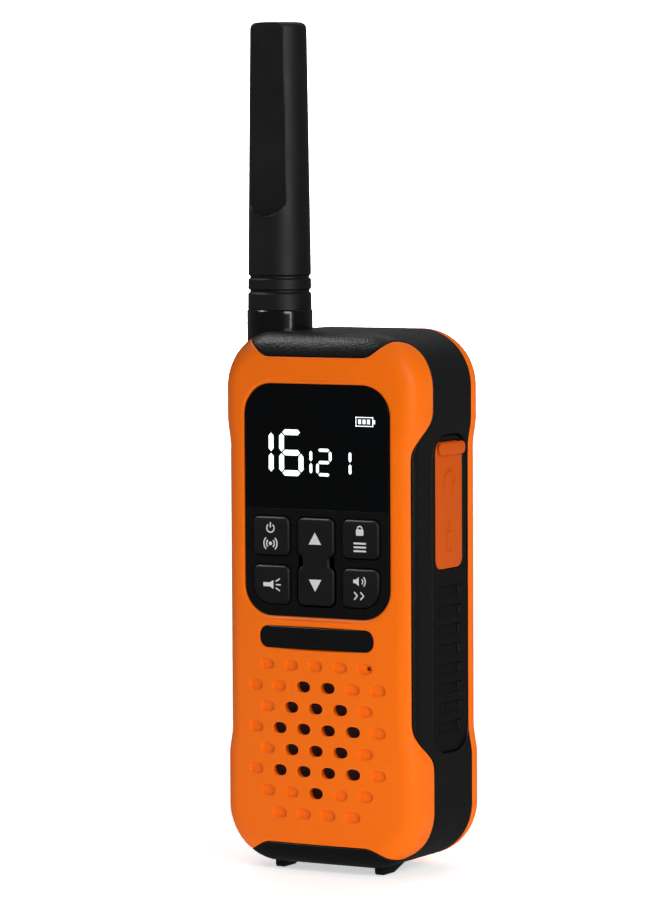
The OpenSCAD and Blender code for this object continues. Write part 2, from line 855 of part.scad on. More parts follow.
module microphone() {
    color(steel) barrel(mic_x, grille_top, 2, cavity_d0 + 0.8, cavity_d0 + 2.8);
}

module microphone_boot() {
    color("#2B2D30") difference() {
        barrel(mic_x, grille_top, 2.6, cavity_d0, cavity_d0 + 3.2);
        barrel(mic_x, grille_top, 2, cavity_d0 + 0.8, cavity_d0 + 4);
        barrel(mic_x, grille_top, 0.6, cavity_d0 - cut, cavity_d0 + 1);
    }
}

// ---- lamp ----

module lamp_lens() {
    color("#DDE6EA") place() translate([0, lamp_d, foot_h]) rotate_extrude($fn = 64)
        polygon([[0, 0.35], [lamp_r - 0.6, 0.35], [lamp_r, 0.6], [lamp_r, wall + 0.5], [2.4, wall + 0.5],
            [1.6, wall - 0.3], [0, wall - 0.3]]);
}

module lamp_led() {
    z0 = foot_h + wall + 0.5;
    color("#F3F1C8") {
        place() translate([0, lamp_d, z0]) cylinder(r = 1.5, h = 1.2);
        block(-4, 4, lamp_d - 4, lamp_d + 4, z0 + 1.2, z0 + 2.2);
    }
}

// ---- antenna ----

module antenna_turn() {
    place() translate([-antenna_x, antenna_d, 0]) rotate_extrude($fn = 96) children();
}

module antenna_base() {
    stub_r = stem_r + 0.2;
    color("#141618") antenna_turn() polygon([
        [2.45, stem_z0], [stem_r, stem_z0], [stem_r, shelf_z1],
        [collar_r, shelf_z1], [collar_r, top_z], [collar_r - 0.08, collar_z1 - 0.5],
        [collar_r - 0.4, collar_z1], [stub_r, collar_z1], [stub_r, collar_z1 + 5], [2.45, collar_z1 + 5]]);
}

module antenna_nut() {
    color(brass) place() translate([-antenna_x, antenna_d, shelf_z1 - shelf_t - 3]) difference() {
        cylinder(r = 4.9, h = 3, $fn = 6);
        translate([0, 0, -cut]) cylinder(r = stem_r + 0.02, h = 3 + 2 * cut);
    }
}

module antenna_pin() {
    color(brass) place() translate([-antenna_x, antenna_d, contact_z])
        cylinder(r = 2.4, h = pin_top - contact_z);
}

module antenna_former() {
    color("#D9D5C8") place() translate([-antenna_x, antenna_d, pin_top])
        cylinder(r = 2.3, h = sleeve_z1 - 8 - pin_top);
}

module antenna_sleeve() {
    inner = stem_r + 0.25;
    g = 0.45;
    z0 = collar_z1 + 0.05;
    z1 = sleeve_z1;
    color(soft_black) difference() {
        antenna_turn() polygon(concat(
            [[inner, z0], [sleeve_r, z0], [sleeve_r, z0 + 3.6], [sleeve_r - g, z0 + 3.75],
                [sleeve_r - g, z0 + 4.45], [sleeve_r, z0 + 4.6], [sleeve_r, z0 + 6.8],
                [sleeve_r - g, z0 + 6.95], [sleeve_r - g, z0 + 7.65], [sleeve_r, z0 + 7.8]],
            arc(tip_r - 1.5, z1 - 1.5, 1.5, 1.5, 0, 90, 6),
            [[0, z1], [0, z1 - 7], [inner, z1 - 7]]));
        for (s = [0, 1]) place() translate([-antenna_x, antenna_d, 0]) rotate([0, 0, 180 * s])
            translate([0, -flat_at, 0]) rotate([90, 0, 0]) linear_extrude(6) flat_outline();
    }
}

// Outline of a flat on the sleeve: round at its foot and open at the tip
module flat_outline() {
    r = 5.5;
    z0 = top_z + 25.4;
    translate([0, z0 + r]) circle(r);
    translate([-r, z0 + r]) square([2 * r, antenna_h]);
}

// A helix of round wire: a tube of six sides swept along the turns
module antenna_coil() {
    z0 = collar_z1 + 7;
    steps = 12 * coil_turns;
    sides = 6;
    pts = [for (i = [0:steps], k = [0:sides - 1])
        let (a = 30 * i, b = 360 * k / sides)
        [(coil_r + coil_wire * cos(b)) * cos(a), (coil_r + coil_wire * cos(b)) * sin(a),
            coil_pitch * i / 12 + coil_wire * sin(b)]];
    walls = [for (i = [0:steps - 1], k = [0:sides - 1])
        [i * sides + k, i * sides + (k + 1) % sides, (i + 1) * sides + (k + 1) % sides, (i + 1) * sides + k]];
    first = [for (k = [sides - 1:-1:0]) k];
    last = [for (k = [0:sides - 1]) steps * sides + k];
    color("#B87333") place() translate([-antenna_x, antenna_d, z0]) polyhedron(pts, concat(walls, [first], [last]));
}

module antenna_feed() {
    d0 = board_d0 + board_t;
    leaf_t = 0.4;
    color(brass) {
        block(-antenna_x - 1, -antenna_x + 1, d0, d0 + leaf_t, contact_z - 6, contact_z - leaf_t);
        block(-antenna_x - 1, -antenna_x + 1, d0, antenna_d + 1, contact_z - leaf_t, contact_z);
    }
}

// ---- sides ----

module side_grip() {
    across(recess_x, recess_x + grip_t) difference() {
        grip_outline(0);
        flap_outline(flap_gap);
    }
    for (i = [0:7]) {
        z = grip_z0 + 4.8 + i * rib_pitch;
        plate(flap_d0 + 2, flap_d1 - 0.8)
            polygon([[recess_x + grip_t, z], [recess_x + grip_t + 0.45, z + 0.15],
                [recess_x + grip_t + 0.35, z + 1.2], [recess_x + grip_t, z + rib_pitch - 1]]);
    }
}

module grip_right() {
    color(soft_black) side_grip();
}

module grip_left() {
    color(soft_black) mirror([1, 0, 0]) side_grip();
}

module port_cover() {
    lip = 3;
    color(orange) {
        across(flap_x0 + 0.05, flap_x1 - 0.35) flap_outline(0);
        across(flap_x1 - 0.35, flap_x1 + 0.55)
            round_rect(flap_d0 + 0.4, flap_d1 + 0.2, flap_z1 - lip, flap_z1 - 0.2, 1.3);
        rod(flap_mid, jack_z, 3, cavity_x + 0.3, flap_x0 + 0.05);
        across(cavity_x + 0.3, flap_x0 + 0.05) translate([flap_mid, usb_z]) rotate(90) oval(9, 3.5);
    }
}

module port_board() {
    color(board_green) block(port_x, port_x + 1.2, flap_d0, flap_d1, flap_z0 + 1, flap_z1 - 3);
}

module usb_socket() {
    x0 = socket_x1 - 8.6;
    color(steel) across(port_x + 1.2, x0) translate([flap_mid, usb_z]) square([2.6, 8], center = true);
    color(steel) difference() {
        across(x0, socket_x1) translate([flap_mid, usb_z]) rotate(90) oval(9, 3.2);
        across(x0 + 1.5, socket_x1 + cut) difference() {
            translate([flap_mid, usb_z]) rotate(90) oval(8.4, 2.6);
            translate([flap_mid, usb_z]) rotate(90) square([6.6, 0.7], center = true);
        }
    }
}

module headset_jack() {
    x0 = port_x + 1.2;
    color("#1A1C1F") difference() {
        union() {
            across(x0, socket_x1 - 1) translate([flap_mid, jack_z]) square([6.4, 6], center = true);
            rod(flap_mid, jack_z, 2.6, socket_x1 - 1, socket_x1);
        }
        rod(flap_mid, jack_z, jack_r, x0 + 0.6, socket_x1 + cut);
    }
}

module talk_button() {
    flange_t = 0.9;
    color(soft_black) mirror([1, 0, 0]) {
        across(talk_x, flap_x1 + 0.3) flap_outline(-0.05);
        across(talk_x - flange_t, talk_x)
            round_rect(flap_d0 - 1, flap_d1 + 1, flap_z0 - 1, flap_z1 + 1, 3);
        for (i = [0:2])
            rod(flap_mid, flap_z0 + flap_h / 2 + (i - 1) * 4, 0.9, flap_x1 + 0.3, flap_x1 + 0.55);
        rod(flap_mid, flap_z0 + flap_h / 2, 1.6, talk_nub, talk_x - flange_t);
    }
}

module talk_board() {
    color(board_green) mirror([1, 0, 0])
        block(port_x, port_x + 1.2, flap_d0, flap_d1, flap_z0 + 1, flap_z1 - 3);
}

module talk_switch() {
    z = flap_z0 + flap_h / 2;
    x1 = talk_nub - talk_travel - 0.05;
    color("#2A2D31") mirror([1, 0, 0]) {
        block(port_x + 1.2, x1 - 0.8, flap_mid - 3, flap_mid + 3, z - 3, z + 3);
        rod(flap_mid, z, 1.5, x1 - 0.8, x1);
    }
}

// ---- power ----

module battery_tray() {
    color("#2E3033") difference() {
        block(-tray_x, tray_x, tray_d0, tray_d1, tray_z0, tray_z1);
        block(-tray_x + tray_wall, tray_x - tray_wall, tray_d0 + tray_wall, tray_d1 + cut,
            tray_z0 + tray_wall, tray_z1 - tray_wall);
    }
}

module at_cells() {
    for (i = [-1, 0, 1]) place() translate([i * cell_pitch, cell_d, cell_z0]) children();
}

module battery_cells() {
    color("#3D8C5A") at_cells() rotate_extrude()
        polygon([[0, 0], [cell_r - 0.5, 0], [cell_r, 0.5], [cell_r, cell_l - 1.6], [cell_r - 0.6, cell_l - 1],
            [1.9, cell_l - 1], [1.9, cell_l], [0, cell_l]]);
}

module battery_springs() {
    room = tray_z1 - tray_wall - cell_z0 - cell_l;
    color(steel) at_cells() translate([0, 0, cell_l]) rotate_extrude()
        polygon([[1.2, 0], [1.8, 0], [3, room - 0.5], [3.4, room - 0.5], [3.4, room], [2.6, room], [1.4, 0.6],
            [1.2, 0.6]]);
}

module battery_tabs() {
    color(steel) at_cells() translate([-3.2, -3.2, -1]) cube([6.4, 6.4, 1]);
}

module battery_door() {
    color(orange) difference() {
        intersection() {
            body_skin();
            plate(back_parting + shut_gap, back_d)
                translate([-door_w / 2, 0]) square([door_w, door_z1]);
        }
        cavity();
        for (i = [0:3])
            block(-6, 6, back_d - 0.4, back_d + cut, door_z1 - 12 + 2 * i, door_z1 - 11.2 + 2 * i);
    }
    color(orange) for (s = [0, 1], z = rail_heights) mirror([s, 0, 0]) door_rail(z);
}

// A hook on the inside of the door that runs behind the edge of the back shell
module door_rail(z) {
    x = door_w / 2;
    d1 = cavity_d1 - 0.15;
    block(x - 1.5, x - 0.2, d1 - rail_t, cavity_d1 + 0.3, z - 3, z + 3);
    block(x - 1.5, x + 1.2, d1 - rail_t, d1, z - 3, z + 3);
}

// ---- belt clip ----

module clip_base() {
    color(black) {
        difference() {
            union() {
                plate(back_d, back_d + 1.2)
                    round_rect(-clip_w / 2 - 1, clip_w / 2 + 1, pin_z - 8, pin_z + 8, 2);
                for (s = [-1, 1])
                    across(s * (clip_w - ear_t) / 2 - ear_t / 2, s * (clip_w - ear_t) / 2 + ear_t / 2) {
                        translate([pin_d, pin_z]) circle(2.8);
                        translate([back_d + 1.2, pin_z - 2.8]) square([pin_d - back_d - 1.2, 5.6]);
                    }
            }
            rod(pin_d, pin_z, pin_r + 0.02, -clip_w, clip_w);
        }
    }
}

module clip_pin() {
    color(steel) rod(pin_d, pin_z, pin_r, -clip_w / 2, clip_w / 2);
}

module belt_clip() {
    out0 = back_d + clip_gap;
    out1 = out0 + clip_t;
    tip_z = pin_z - clip_l;
    arm_x = clip_w / 2 + 0.8;
    color(black) difference() {
        union() {
            across(-arm_x, arm_x)
                polygon([[out0 - 0.4, pin_z - 6], [out0, pin_z - 10], [out0, tip_z + 9],
                    [back_d + 1.6, tip_z + 3.5], [back_d + 0.4, tip_z + 3], [back_d + 0.9, tip_z + 1.2],
                    [back_d + 3.4, tip_z], [out1 - 0.9, tip_z + 2.6], [out1, tip_z + 8],
                    [out1, pin_z + 6], [out1 - 0.5, pin_z + 9.6], [out1 - 1.4, pin_z + 10],
                    [out1 - 2.2, pin_z + 9], [out0 + 0.3, pin_z + 5]]);
            across(-knuckle_w / 2, knuckle_w / 2) {
                translate([pin_d, pin_z]) circle(2.2);
                translate([pin_d, pin_z - 2.2]) square([out1 - pin_d - 0.2, 4.4]);
            }
        }
        rod(pin_d, pin_z, pin_r + 0.05, -clip_w, clip_w);
        rod(pin_d, pin_z, 2.5, -spring_w / 2 - 0.3, spring_w / 2 + 0.3);
        for (s = [0, 1]) mirror([s, 0, 0])
            block(knuckle_w / 2, clip_w, back_d, out1 + cut, pin_z - 5, pin_z + 5);
    }
}

module clip_spring() {
    turns = 5;
    wire = 0.4;
    ring_r = pin_r + 0.15 + wire;
    color(steel) {
        for (i = [0:turns - 1])
            place() translate([-spring_w / 2 + wire + i * (spring_w - 2 * wire) / (turns - 1), pin_d, pin_z])
                rotate([0, 90, 0]) rotate_extrude($fn = 32) translate([ring_r, 0]) circle(wire, $fn = 16);
        block(-spring_w / 2, spring_w / 2, pin_d - ring_r - wire, pin_d - ring_r + wire - 0.1,
            pin_z - 0.3, pin_z + 0.3);
        block(-spring_w / 2, -spring_w / 2 + 0.8, back_d + 1.2, pin_d - ring_r, pin_z - 0.4, pin_z + 0.4);
    }
}

front_shell();
mid_frame();
back_shell();
case_seal();
case_screws();
display_lens();
key_bezel();
name_plate();
lcd_panel();
display_segments();
backlight();
key_mat();
call_key();
menu_key();
lamp_key();
scan_key();
channel_rocker();
key_switches();
main_board();
board_screws();
shield_can();
board_headers();
speaker_basket();
speaker_cone();
speaker_magnet();
speaker_gauze();
microphone();
microphone_boot();
lamp_lens();
lamp_led();
antenna_base();
antenna_nut();
antenna_pin();
antenna_sleeve();
antenna_former();
antenna_coil();
antenna_feed();
grip_right();
grip_left();
port_cover();
port_board();
usb_socket();
headset_jack();
talk_button();
talk_board();
talk_switch();
battery_tray();
battery_cells();
battery_springs();
battery_tabs();
battery_door();
clip_base();
belt_clip();
clip_pin();
clip_spring();
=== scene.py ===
"""Visual model of a hand-held two way radio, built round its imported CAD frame.

Lengths are millimetres and points are (across, depth, height) until a mesh is made: depth runs from
the plane of the display window to the back, as in the CAD source. A mesh is written in metres.
"""

from __future__ import annotations

import logging
import math
from dataclasses import dataclass, field
from enum import Enum
from functools import cached_property
from typing import Any, Callable, Iterable, Sequence

import bmesh
import bpy
import numpy as np
from mathutils import Matrix, Vector

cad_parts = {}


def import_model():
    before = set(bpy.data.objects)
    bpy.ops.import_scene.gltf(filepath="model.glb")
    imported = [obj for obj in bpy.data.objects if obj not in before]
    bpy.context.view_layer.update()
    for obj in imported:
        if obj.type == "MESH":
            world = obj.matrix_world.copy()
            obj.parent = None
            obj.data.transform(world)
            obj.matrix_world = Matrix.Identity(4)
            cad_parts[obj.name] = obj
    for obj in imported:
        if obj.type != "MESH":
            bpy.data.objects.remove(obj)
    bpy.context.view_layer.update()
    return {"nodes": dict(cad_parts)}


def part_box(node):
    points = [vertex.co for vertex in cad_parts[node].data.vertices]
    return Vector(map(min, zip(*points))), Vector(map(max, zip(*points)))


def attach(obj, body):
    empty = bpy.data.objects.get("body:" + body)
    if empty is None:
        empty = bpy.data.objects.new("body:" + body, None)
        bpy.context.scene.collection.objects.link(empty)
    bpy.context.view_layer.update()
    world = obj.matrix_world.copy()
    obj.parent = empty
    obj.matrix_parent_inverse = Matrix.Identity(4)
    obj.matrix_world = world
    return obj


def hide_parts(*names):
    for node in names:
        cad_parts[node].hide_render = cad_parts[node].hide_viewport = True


log = logging.getLogger("radio")

MM = 0.001
Points = np.ndarray
Surface = Callable[[Points, Points], Points]


# ---- sizes ----


@dataclass(frozen=True)
class Box:
    """The box of a CAD node in millimetres, with depths measured from the window plane."""

    x0: float
    x1: float
    d0: float
    d1: float
    z0: float
    z1: float

    @property
    def cx(self) -> float:
        """Middle across."""
        return (self.x0 + self.x1) / 2

    @property
    def cd(self) -> float:
        """Middle in depth."""
        return (self.d0 + self.d1) / 2

    @property
    def cz(self) -> float:
        """Middle height."""
        return (self.z0 + self.z1) / 2


# How far the middle of each socket lies below the top of the flap.
JACK_DROP = 9.3
USB_DROP = 21.4


class Site:
    """Where the window plane lies, so that depths can be turned into the frame's Y."""

    window_y: float = 0.0

    @classmethod
    def settle(cls) -> None:
        """Reads the window plane from the display lens."""
        cls.window_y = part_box("display_lens")[0][1] / MM

    @classmethod
    def box(cls, node: str) -> Box:
        """Returns a node's box.

        Args:
            node: name of the CAD node.

        Returns:
            The box in millimetres.
        """
        lo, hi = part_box(node)
        y = cls.window_y
        return Box(lo[0] / MM, hi[0] / MM, lo[1] / MM - y, hi[1] / MM - y, lo[2] / MM, hi[2] / MM)


# ---- meshes ----


class Axis(Enum):
    """Direction in which an outline is swept."""

    DEPTH = "depth"
    RIGHT = "right"
    LEFT = "left"
    UP = "up"


def to_space(axis: Axis, u: Points, v: Points, level: Points) -> Points:
    """Places outline coordinates and a level in space.

    Args:
        axis: direction of the sweep.
        u: first outline coordinate: across, or depth where the sweep runs sideways.
        v: second outline coordinate: height, or depth where the sweep runs upwards.
        level: distance along the sweep.

    Returns:
        Points as rows of across, depth and height.
    """
    level = np.broadcast_to(level, np.shape(u))
    if axis is Axis.DEPTH:
        return np.stack([u, level, v], axis=1)
    if axis is Axis.UP:
        return np.stack([u, v, level], axis=1)
    side = 1.0 if axis is Axis.RIGHT else -1.0
    return np.stack([side * level, u, v], axis=1)


class Shell:
    """Gathers the points and faces of one mesh."""

    def __init__(self) -> None:
        """Starts empty."""
        self.points: list[Sequence[float]] = []
        self.faces: list[Sequence[int]] = []

    def add(self, points: Points) -> list[int]:
        """Adds points and returns their numbers."""
        start = len(self.points)
        self.points.extend(np.asarray(points, dtype=float).tolist())
        return list(range(start, len(self.points)))

    def wall(self, a: Sequence[int], b: Sequence[int]) -> None:
        """Joins two closed loops of equally many points with quads."""
        n = len(a)
        for i in range(n):
            j = (i + 1) % n
            self.faces.append((a[i], b[i], b[j], a[j]))

    def stack(self, loops: Sequence[Points], capped: bool = True) -> list[list[int]]:
        """Joins a row of loops, and closes both ends with one face each if capped.

        Args:
            loops: loops of points in order.
            capped: whether the first and last loops are closed.

        Returns:
            The point numbers of every loop.
        """
        rings = [self.add(loop) for loop in loops]
        for a, b in zip(rings, rings[1:]):
            self.wall(a, b)
        if capped:
            self.faces.append(tuple(rings[0]))
            self.faces.append(tuple(reversed(rings[-1])))
        return rings

    def build(self, name: str, smooth: float = 30.0) -> bpy.types.Object:
        """Makes the object, in metres, with clean outward normals.

        Args:
            name: name of the object and its mesh.
            smooth: largest angle in degrees between faces that shade as one surface.

        Returns:
            The new object, linked to the scene.
        """
        points = np.array(self.points)
        points[:, 1] += Site.window_y
        mesh = bpy.data.meshes.new(name)
        mesh.from_pydata((points * MM).tolist(), [], [tuple(f) for f in self.faces])
        mesh.validate()
        obj = bpy.data.objects.new(name, mesh)
        bpy.context.scene.collection.objects.link(obj)
        tidy_mesh(mesh, smooth)
        return obj


def tidy_mesh(mesh: bpy.types.Mesh, smooth: float) -> None:
    """Merges doubled points, turns faces outwards and marks the sharp edges.

    Args:
        mesh: mesh to clean.
        smooth: largest angle in degrees that still shades smooth.
    """
    bm = bmesh.new()
    bm.from_mesh(mesh)
    bmesh.ops.remove_doubles(bm, verts=bm.verts, dist=2e-6)
    bmesh.ops.recalc_face_normals(bm, faces=bm.faces)
    bm.to_mesh(mesh)
    bm.free()
    mesh.shade_smooth()
    mesh.set_sharp_from_angle(angle=math.radians(smooth))


def bake_modifiers(obj: bpy.types.Object) -> None:
    """Turns the result of an object's modifiers into its plain mesh."""
    bpy.context.view_layer.update()
    graph = bpy.context.evaluated_depsgraph_get()
    mesh = bpy.data.meshes.new_from_object(
        obj.evaluated_get(graph), preserve_all_data_layers=True, depsgraph=graph
    )
    old = obj.data
    obj.modifiers.clear()
    obj.data = mesh
    bpy.data.meshes.remove(old)


def drop(objects: Iterable[bpy.types.Object]) -> None:
    """Removes helper objects and their meshes."""
    for obj in objects:
        mesh = obj.data
        bpy.data.objects.remove(obj)
        bpy.data.meshes.remove(mesh)


def cut(
    obj: bpy.types.Object, tools: Sequence[bpy.types.Object], keep: bool = False, smooth: float = 30.0
) -> None:
    """Carves cutters out of an object, or keeps only what lies inside the cutter.

    Args:
        obj: object to carve.
        tools: cutters, which are removed afterwards.
        keep: keep the inside of the cutter instead.
        smooth: largest angle in degrees that still shades smooth.
    """
    for tool in tools:
        mod = obj.modifiers.new("carve", "BOOLEAN")
        mod.operation = "INTERSECT" if keep else "DIFFERENCE"
        mod.solver = "MANIFOLD"
        mod.object = tool
    bake_modifiers(obj)
    drop(tools)
    tidy_mesh(obj.data, smooth)


def weigh_normals(obj: bpy.types.Object) -> None:
    """Lets large faces lead the shading, so that flat areas stay flat beside small fillets."""
    mod = obj.modifiers.new("weigh", "WEIGHTED_NORMAL")
    mod.mode = "FACE_AREA"
    mod.keep_sharp = True
    bake_modifiers(obj)


# ---- outlines ----


def arc(cu: float, cv: float, r: float, a0: float, a1: float, n: int) -> Points:
    """Points on an arc from one angle in degrees to another."""
    a = np.radians(np.linspace(a0, a1, n + 1))
    return np.stack([cu + r * np.cos(a), cv + r * np.sin(a)], axis=1)


def round_box(
    u0: float, u1: float, v0: float, v1: float, radii: Sequence[float] | float, steps: int = 8
) -> Points:
    """A box with round corners, counter-clockwise from its lower left corner.

    Args:
        u0: lowest first coordinate.
        u1: highest first coordinate.
        v0: lowest second coordinate.
        v1: highest second coordinate.
        radii: one radius, or four from the lower left corner on.
        steps: faces round each corner.

    Returns:
        The outline's points.
    """
    a, b, c, d = (radii,) * 4 if isinstance(radii, (int, float)) else radii
    return np.concatenate(
        [
            arc(u0 + a, v0 + a, a, 180, 270, steps),
            arc(u1 - b, v0 + b, b, 270, 360, steps),
            arc(u1 - c, v1 - c, c, 0, 90, steps),
            arc(u0 + d, v1 - d, d, 90, 180, steps),
        ]
    )


def oval(cu: float, cv: float, w: float, h: float, steps: int = 28) -> Points:
    """A round-ended oval that swells a little along its sides, as the grille's do."""
    a = np.radians(np.linspace(0, 360, steps, endpoint=False))
    c, s = np.cos(a), np.sin(a)
    power = 0.9
    u = cu + w / 2 * np.sign(c) * np.abs(c) ** power
    return np.stack([u, cv + h / 2 * np.sign(s) * np.abs(s) ** power], axis=1)


def grow(outline: Points, amount: float) -> Points:
    """Moves an outline outwards along its corner normals.

    Args:
        outline: counter-clockwise points.
        amount: distance, negative to shrink.

    Returns:
        The moved points.
    """
    if abs(amount) < 1e-9:
        return outline
    before = outline - np.roll(outline, 1, axis=0)
    after = np.roll(outline, -1, axis=0) - outline
    na = np.stack([before[:, 1], -before[:, 0]], axis=1)
    nb = np.stack([after[:, 1], -after[:, 0]], axis=1)
    na /= np.maximum(np.linalg.norm(na, axis=1, keepdims=True), 1e-12)
    nb /= np.maximum(np.linalg.norm(nb, axis=1, keepdims=True), 1e-12)
    mid = na + nb
    mid /= np.maximum(np.linalg.norm(mid, axis=1, keepdims=True), 1e-12)
    lean = np.clip(np.sum(mid * nb, axis=1, keepdims=True), 0.5, 1.0)
    return outline + mid * (amount / lean)


@dataclass(frozen=True)
class Level:
    """One step of a swept outline: how far it is grown, how high it lies, and whether it follows the surface."""

    grown: float
    height: float
    follow: float = 0.0


def sweep(shell: Shell, outline: Points, levels: Sequence[Level], axis: Axis, surface: Surface | None = None) -> None:
    """Adds a closed solid through grown copies of an outline.

    Args:
        shell: mesh to add to.
        outline: counter-clockwise points.
        levels: steps along the sweep.
        axis: direction of the sweep.
        surface: height of the surface that a level may follow.
    """
    loops = []
    for step in levels:
        ring = grow(outline, step.grown)
        height = np.full(len(ring), step.height)
        if surface is not None and step.follow:
            height = height + step.follow * surface(ring[:, 0], ring[:, 1])
        loops.append(to_space(axis, ring[:, 0], ring[:, 1], height))
    shell.stack(loops)


def rows_of(*pairs: tuple[float, float]) -> list[Level]:
    """Makes levels from pairs of how far the outline is grown and its height."""
    return [Level(grown, height) for grown, height in pairs]


def rounded_levels(
    near: float, far: float, r: float, out: float = -1.0, steps: int = 4, follow: float = 0.0
) -> list[Level]:
    """Steps of a solid from its far end to a rounded near end.

    Args:
        near: height of the finished face.
        far: height of the other end.
        r: radius of the rounded edge.
        out: direction in which the face looks along the sweep, -1 or 1.
        steps: faces round the edge.
        follow: share of the surface's height that the near end follows.

    Returns:
        The levels, far end first.
    """
    rows = [Level(0.0, far)]
    for i in range(steps + 1):
        a = math.radians(90 * i / steps)
        rows.append(Level(-r * (1 - math.cos(a)), near - out * r * (1 - math.sin(a)), follow))
    return rows


def flared_levels(floor: float, r: float, out: float, beyond: float, steps: int = 4) -> list[Level]:
    """Steps of a cutter whose rim rounds over the surface it follows.

    Args:
        floor: height of the pocket's floor, or of the far end of a through hole.
        r: radius of the rim.
        out: direction in which the surface looks along the sweep, -1 or 1.
        beyond: height outside the surface at which the cutter ends.
        steps: faces round the rim.

    Returns:
        The levels, floor first.
    """
    rows = [Level(0.0, floor)]
    for i in range(steps + 1):
        a = math.radians(90 * i / steps)
        rows.append(Level(r * (1 - math.cos(a)), -out * r * (1 - math.sin(a)), 1.0))
    rows.append(Level(r + 0.03, out * 0.03, 1.0))
    rows.append(Level(r + 0.03, beyond))
    return rows


def revolve(shell: Shell, cx: float, cd: float, profile: Sequence[tuple[float, float]], steps: int = 96) -> None:
    """Turns a profile of radius and height round an upright axis, as a closed solid."""
    a = np.radians(np.linspace(0, 360, steps, endpoint=False))
    loops = [
        np.stack([cx + r * np.cos(a), cd + r * np.sin(a), np.full(steps, z)], axis=1)
        for r, z in profile
    ]
    shell.stack(loops)


# ---- finishes ----


def linear(code: str, alpha: float = 1.0) -> tuple[float, float, float, float]:
    """Turns an sRGB hex colour into linear light.

    Args:
        code: colour such as "#EE5F00".
        alpha: fourth channel.

    Returns:
        Red, green, blue and alpha.
    """
    rgb = [int(code[i : i + 2], 16) / 255 for i in (1, 3, 5)]
    r, g, b = (c / 12.92 if c <= 0.04045 else ((c + 0.055) / 1.055) ** 2.4 for c in rgb)
    return r, g, b, alpha


def add_node(
    tree: bpy.types.NodeTree,
    kind: str,
    sockets: dict[str | int, Any] | None = None,
    **settings: Any,
) -> bpy.types.Node:
    """Adds a node with its settings, values and links.

    Args:
        tree: tree to add to.
        kind: type of the node.
        sockets: value of an input, or the output socket that feeds it, by name or number.
        **settings: properties of the node.

    Returns:
        The new node.
    """
    node = tree.nodes.new(kind)
    for key, value in settings.items():
        setattr(node, key, value)
    for key, value in (sockets or {}).items():
        if isinstance(value, bpy.types.NodeSocket):
            tree.links.new(value, node.inputs[key])
        else:
            node.inputs[key].default_value = value
    return node


class Grain(Enum):
    """How a surface was given its texture."""

    SPARK = "spark-eroded mould"
    SATIN = "fine satin mould"
    POLISHED = "polished mould"
    BRUSHED = "brushed metal"
    CAST = "cast or wound"
    FIBRE = "fibre"


